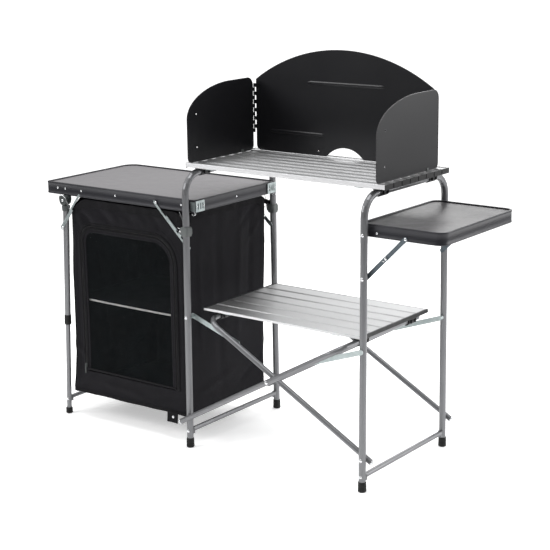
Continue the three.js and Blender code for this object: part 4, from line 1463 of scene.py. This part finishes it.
def link_rivets():
    """A rivet where each locking link meets its scissor tube."""
    for arm in ("left", "right"):
        for word, side in SIDES:
            lo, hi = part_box(f"{arm}_link_{word}")
            x = hi.x - 7 * MM if arm == "left" else lo.x + 7 * MM
            inside_leg = max(abs(lo.y), abs(hi.y)) - 1 * MM < 195 * MM
            out = -side if inside_leg else side
            head = Builder()
            rivet(head, (x, hi.y if out > 0 else lo.y, lo.z + 7 * MM), (0, out, 0), 4.4 * MM, 2.0 * MM)
            head.make(f"{arm}_link_{word}_rivet", "rivet", f"link_{arm}_{word}", "zinc")


def saddles():
    """Clips that hold the shelves on the crossbars: a moulded half shell with a foot under the slats."""
    bodies = {"left": "base", "right": "right_frame", "outer": "outer_x", "inner": "inner_x"}
    for name, body in bodies.items():
        for word, _ in SIDES:
            node = f"{name}_saddle_{word}"
            lo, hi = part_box(node)
            x, z = (lo.x + hi.x) / 2, (lo.z + hi.z) / 2
            radius = min((hi.z - lo.z) / 2, 11.8 * MM)
            foot = radius + 3.4 * MM
            foot_z = z + radius * 0.55
            section = arc((x, z), radius, -200, 20, 11)
            section += [(x + foot, foot_z), (x + foot, hi.z), (x - foot, hi.z), (x - foot, foot_z)]
            build = Builder().prism(section, crosswise, lo.y, hi.y)
            for y in (lo.y + 9 * MM, hi.y - 9 * MM):
                for way in (-1, 1):
                    x0, x1 = sorted((x + way * (radius + 3.8 * MM), x + way * (radius - 2 * MM)))
                    build.block((x0, y - 1 * MM, z - radius * 0.5), (x1, y + 1 * MM, z + radius * 0.6))
            clip = build.make(f"{node}_clip", "black", body, "black_plastic", smooth=False, bevel=0.9 * MM)
            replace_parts(clip, node)


def collars():
    """Moulded collars round the left arch's legs, each with an arm that carries a screw."""
    for word, side in SIDES:
        lo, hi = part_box(f"leg_collar_{word}")
        centre = (lo + hi) / 2
        height = hi.z - lo.z
        radius = (hi.x - lo.x) / 2
        x = centre.x + (1.2 * MM if side < 0 else -1.0 * MM)
        build = Builder()
        for start, end, half in ((0.0, 1.0, radius - 2.2 * MM), (0.18, 0.82, radius - 1.0 * MM)):
            outline = rounded_outline(x - half, x + half, centre.y - half, centre.y + half, 6 * MM, 5)
            build.prism(outline, upright, lo.z + height * start, lo.z + height * end)
        arm = 2 * MM if side < 0 else 9 * MM
        arm_y = centre.y + side * 3 * MM
        build.block((centre.x - radius - arm, arm_y - 5 * MM, lo.z + 4 * MM),
                    (centre.x - radius + 3 * MM, arm_y + 5 * MM, hi.z - 3 * MM))
        collar = build.make(f"leg_collar_{word}_body", "grey", "base", "grey_plastic", bevel=0.7 * MM)
        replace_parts(collar, f"leg_collar_{word}")
        screw = Builder()
        at = (centre.x - radius - arm / 2, centre.y + side * 8 * MM, centre.z)
        rivet(screw, at, (0, side, 0), 3.0 * MM, 1.4 * MM)
        screw.make(f"leg_collar_{word}_screw", "rivet", "base", "zinc")


def counter_knuckles():
    """A moulded fork under the counter at each leg, with its pin."""
    for word, side in SIDES:
        node = f"counter_knuckle_{word}"
        lo, hi = (corner + Vector((3 * MM, 0, 0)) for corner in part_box(node))
        mid = (lo + hi) / 2
        pin_z = mid.z + 1 * MM
        outline = [(lo.x + 3 * MM, hi.z), (lo.x, hi.z - 3 * MM), (lo.x, mid.z + 2 * MM)]
        outline += arc((mid.x, lo.z + 13 * MM), 13 * MM, 190, 350, 10)
        outline += [(hi.x, mid.z + 2 * MM), (hi.x, hi.z - 3 * MM), (hi.x - 3 * MM, hi.z)]
        holes = [ring_points(mid.x, pin_z, 2.6 * MM)]
        build = Builder()
        for cheek in (lo.y + 3 * MM, hi.y - 3 * MM):
            plate_between(build, outline, holes, lambda p, q, out: Vector((p, cheek + out, q)), 5.5 * MM)
        core = [(mid.x + (p - mid.x) * 0.8, hi.z - (hi.z - q) * 0.9) for p, q in outline]
        plate_between(build, core, [], lambda p, q, out: Vector((p, mid.y + out, q)), (hi.y - lo.y) * 0.6)
        fork = build.make(f"{node}_fork", "knuckle", "base", "black_plastic", smooth=False, bevel=0.8 * MM)
        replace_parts(fork, node)
        pin = Builder()
        outer_y, inner_y = (lo.y, hi.y) if side < 0 else (hi.y, lo.y)
        rivet(pin, (mid.x, outer_y, pin_z), (0, side, 0), 4.2 * MM, 2.0 * MM)
        rivet(pin, (mid.x, inner_y, pin_z), (0, -side, 0), 4.2 * MM, 1.4 * MM)
        pin.make(f"{node}_pin", "rivet", "base", "zinc")


def counter_leg_sleeves():
    """The socket at the top of each leaning counter leg and the ribbed grip at the bottom of its tube."""
    tube = 9 * MM
    socket = in_mm((9.2, 0), (11.4, 1.2), (12.4, 15), (10.5, 17.5))
    grip = [(8.2, 0), (9.9, 0.8)]
    for i in range(5):
        start = 3 + i * 4.6
        grip += [(10.6, start), (10.6, start + 2.9), (9.9, start + 3.3)]
    grip += [(10.6, 27), (10.4, 29.5), (9.2, 30.5)]
    for word, _ in SIDES:
        lo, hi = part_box(f"counter_leg_{word}")
        y = (lo.y + hi.y) / 2
        lean = math.atan2(hi.x - lo.x - 2 * tube, hi.z - lo.z)
        along = Vector((math.sin(lean), 0, math.cos(lean)))
        top = Vector((hi.x - tube, y, hi.z))
        bottom = Vector((lo.x + tube, y, lo.z))
        collar = Builder().turned(top - along * 17 * MM, along, socket, 24)
        collar.make(f"counter_leg_{word}_socket", "knuckle", "base", "black_plastic", bevel=0.3 * MM)
        sleeve = Builder().turned(bottom - along * 7 * MM, along, in_mm(*grip), 24)
        sleeve.make(f"counter_leg_{word}_grip", "rubber", "base", "black_plastic", bevel=0.2 * MM)


def counter_rail_bolts():
    rail = middle("counter_rail")
    bolts = Builder()
    for _, side in SIDES:
        bolts.turned((rail.x, side * 197.95 * MM, rail.z), (0, side, 0), RAIL_BOLT, 16)
    bolts.make("counter_rail_bolts", "rivet", "counter_feet", "zinc")


def brackets():
    """Slotted corner brackets on the counter's right end, each with a wire hook over the arch's leg."""
    tall, radius = 7 * MM, 2.0 * MM
    for word, side in SIDES:
        node = f"counter_bracket_{word}"
        lo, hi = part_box(node)
        mid = (lo + hi) / 2
        deep = hi.y - lo.y
        outline = rounded_outline(lo.y, hi.y, lo.z, hi.z, 2.5 * MM, 3)
        holes = []
        for share in (0.26, 0.55, 0.80):
            y = lo.y + deep * share
            top, bottom = (y, mid.z + tall), (y, mid.z - tall)
            holes.append(arc(top, radius, 0, 180, 5) + arc(bottom, radius, 180, 360, 5))
        build = Builder()
        plate_between(build, outline, holes, lambda p, q, out: Vector((mid.x + out, p, q)), hi.x - lo.x)
        corner_y = hi.y if side > 0 else lo.y
        near, far = (0.0, 4.8 * MM) if side > 0 else (-3.4 * MM, -3.4 * MM)
        build.block((lo.x - 15 * MM, corner_y + near, lo.z + 2 * MM),
                    (hi.x - 1 * MM, corner_y + far, hi.z - 2 * MM))
        bracket = build.make(f"{node}_plate", "zinc", "base", "zinc", smooth=False, bevel=0.4 * MM)
        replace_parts(bracket, node)
        heads = Builder()
        for share in (0.12, 0.90):
            rivet(heads, (hi.x, lo.y + deep * share, mid.z), (1, 0, 0), 2.6 * MM, 1.2 * MM)
        hook_y = corner_y + side * 2 * MM
        hook = shifted(Vector((lo.x, hook_y, lo.z)), (-3, 0, 1), (1, 0, -5), (-6, 0, -9))
        hook.append(Vector((LEFT_X + TUBE, hook_y, lo.z - 6 * MM)))
        heads.swept(smooth_line(hook), round_section(1.6 * MM, 8))
        heads.make(f"{node}_rivets", "rivet", "base", "zinc")


def edge_rivets():
    lo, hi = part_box("counter_edge")
    z = (lo.z + hi.z) / 2
    heads = Builder()
    for share in (0.084, 0.138, 0.25, 0.484, 0.916):
        for y, side in ((lo.y, -1), (hi.y, 1)):
            at = (lo.x + (hi.x - lo.x) * share, y + side * 0.1 * MM, z + (1 - share) * 1.5 * MM)
            rivet(heads, at, (0, side, 0), 3.0 * MM, 1.5 * MM)
    for x, side in ((hi.x, 1), (lo.x, -1)):
        rivet(heads, (x, (lo.y + hi.y) / 2, z), (side, 0, 0), 3.0 * MM, 1.5 * MM)
    heads.make("counter_edge_rivets", "rivet", "base", "zinc")
    lo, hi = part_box("side_table_edge")
    z = (lo.z + hi.z) / 2
    heads = Builder()
    for y, side in ((lo.y, -1), (hi.y, 1)):
        at = (lo.x + 54 * MM, y + side * 0.1 * MM, z - 5 * MM)
        rivet(heads, at, (0, side, 0), 3.4 * MM, 1.7 * MM)
    heads.make("side_table_rivets", "rivet", "side_leaf", "zinc")


def brace_details():
    """The rivets of the folding braces, and the stop tab on each lower bar."""
    for word, side in SIDES:
        for name, radius, height in (("upper", 4.2 * MM, 2.2 * MM), ("lower", 4.0 * MM, 2.0 * MM)):
            lo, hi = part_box(f"{name}_brace_{word}")
            at = Vector((hi.x - 6 * MM, lo.y if side < 0 else hi.y, hi.z - 6 * MM))
            heads = Builder()
            rivet(heads, at, (0, side, 0), radius, height)
            if name == "lower":
                heads.block(*shifted(at, (-11, -0.6, -8), (-3, 0.6, -6)))
            heads.make(f"{name}_brace_{word}_rivet", "rivet", f"brace_{name}_{word}", "zinc")


def wire_loops():
    """Thin spring wires that keep the folding struts and leg collars together."""
    for word, side in SIDES:
        collar_lo, collar_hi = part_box(f"leg_collar_{word}")
        x = (collar_lo.x + collar_hi.x) / 2
        y = (high("counter_edge").y + 4.5 * MM) * side
        by_collar = Vector((x, y, collar_hi.z))
        hanging = shifted(Vector((x, y, low("counter_edge").z)), (-30, 0, -2), (-22, 0, -18), (-17, 0, -34))
        hanging += shifted(by_collar, (-19, 0, -4), (-15, 0, -12))
        across = shifted(by_collar, (-38, 0, -9), (-26, 0, -11), (-14, 0, -10))
        lo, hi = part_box(f"counter_knuckle_{word}")
        x = (lo.x + hi.x) / 2
        y = lo.y - 2.4 * MM if side < 0 else hi.y + 2.4 * MM
        over_pin = shifted(Vector((x, y, hi.z)), (-12, 0, 0), (2, 0, 4), (16, 0, -4), (25, 0, -20))
        over_pin += shifted(Vector((x, y, lo.z)), (33, 0, -8))
        loops = Builder()
        for line, radius in ((hanging, 0.8 * MM), (across, 0.9 * MM), (over_pin, 0.8 * MM)):
            loops.swept(smooth_line(line), round_section(radius, 6))
        loops.make(f"spring_wires_{word}", "rivet", "base", "zinc")


def feet():
    """Rubber feet with three grooves."""
    for name, body in (("left", "base"), ("right", "right_frame"), ("counter", "counter_feet")):
        for word, _ in SIDES:
            node = f"{name}_foot_{word}"
            lo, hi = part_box(node)
            radius, height = (hi.x - lo.x) / 2, hi.z - lo.z
            profile = [(0.55, 0.0), (0.86, 0.2 * MM), (1.0, 1.8 * MM), (0.985, height * 0.28)]
            for i in range(3):
                z = height * (0.30 + 0.09 * i)
                profile += [(0.985, z), (0.93, z + 0.5 * MM), (0.93, z + 1.2 * MM), (0.985, z + 1.7 * MM)]
            profile += [(0.97, height * 0.62), (0.95, height - 1.2 * MM)]
            profile += [(0.90, height - 0.2 * MM), (0.80, height)]
            profile = [(radius * share, z) for share, z in profile]
            foot = Builder().turned(((lo.x + hi.x) / 2, (lo.y + hi.y) / 2, lo.z), (0, 0, 1), profile, 26)
            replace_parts(foot.make(f"{node}_cap", "rubber", body, "black_plastic"), node)


struts()
leg_bolts()
scissor_bolts()
scissor_ends()
link_rivets()
saddles()
collars()
counter_knuckles()
counter_leg_sleeves()
counter_rail_bolts()
brackets()
edge_rivets()
brace_details()
wire_loops()
feet()
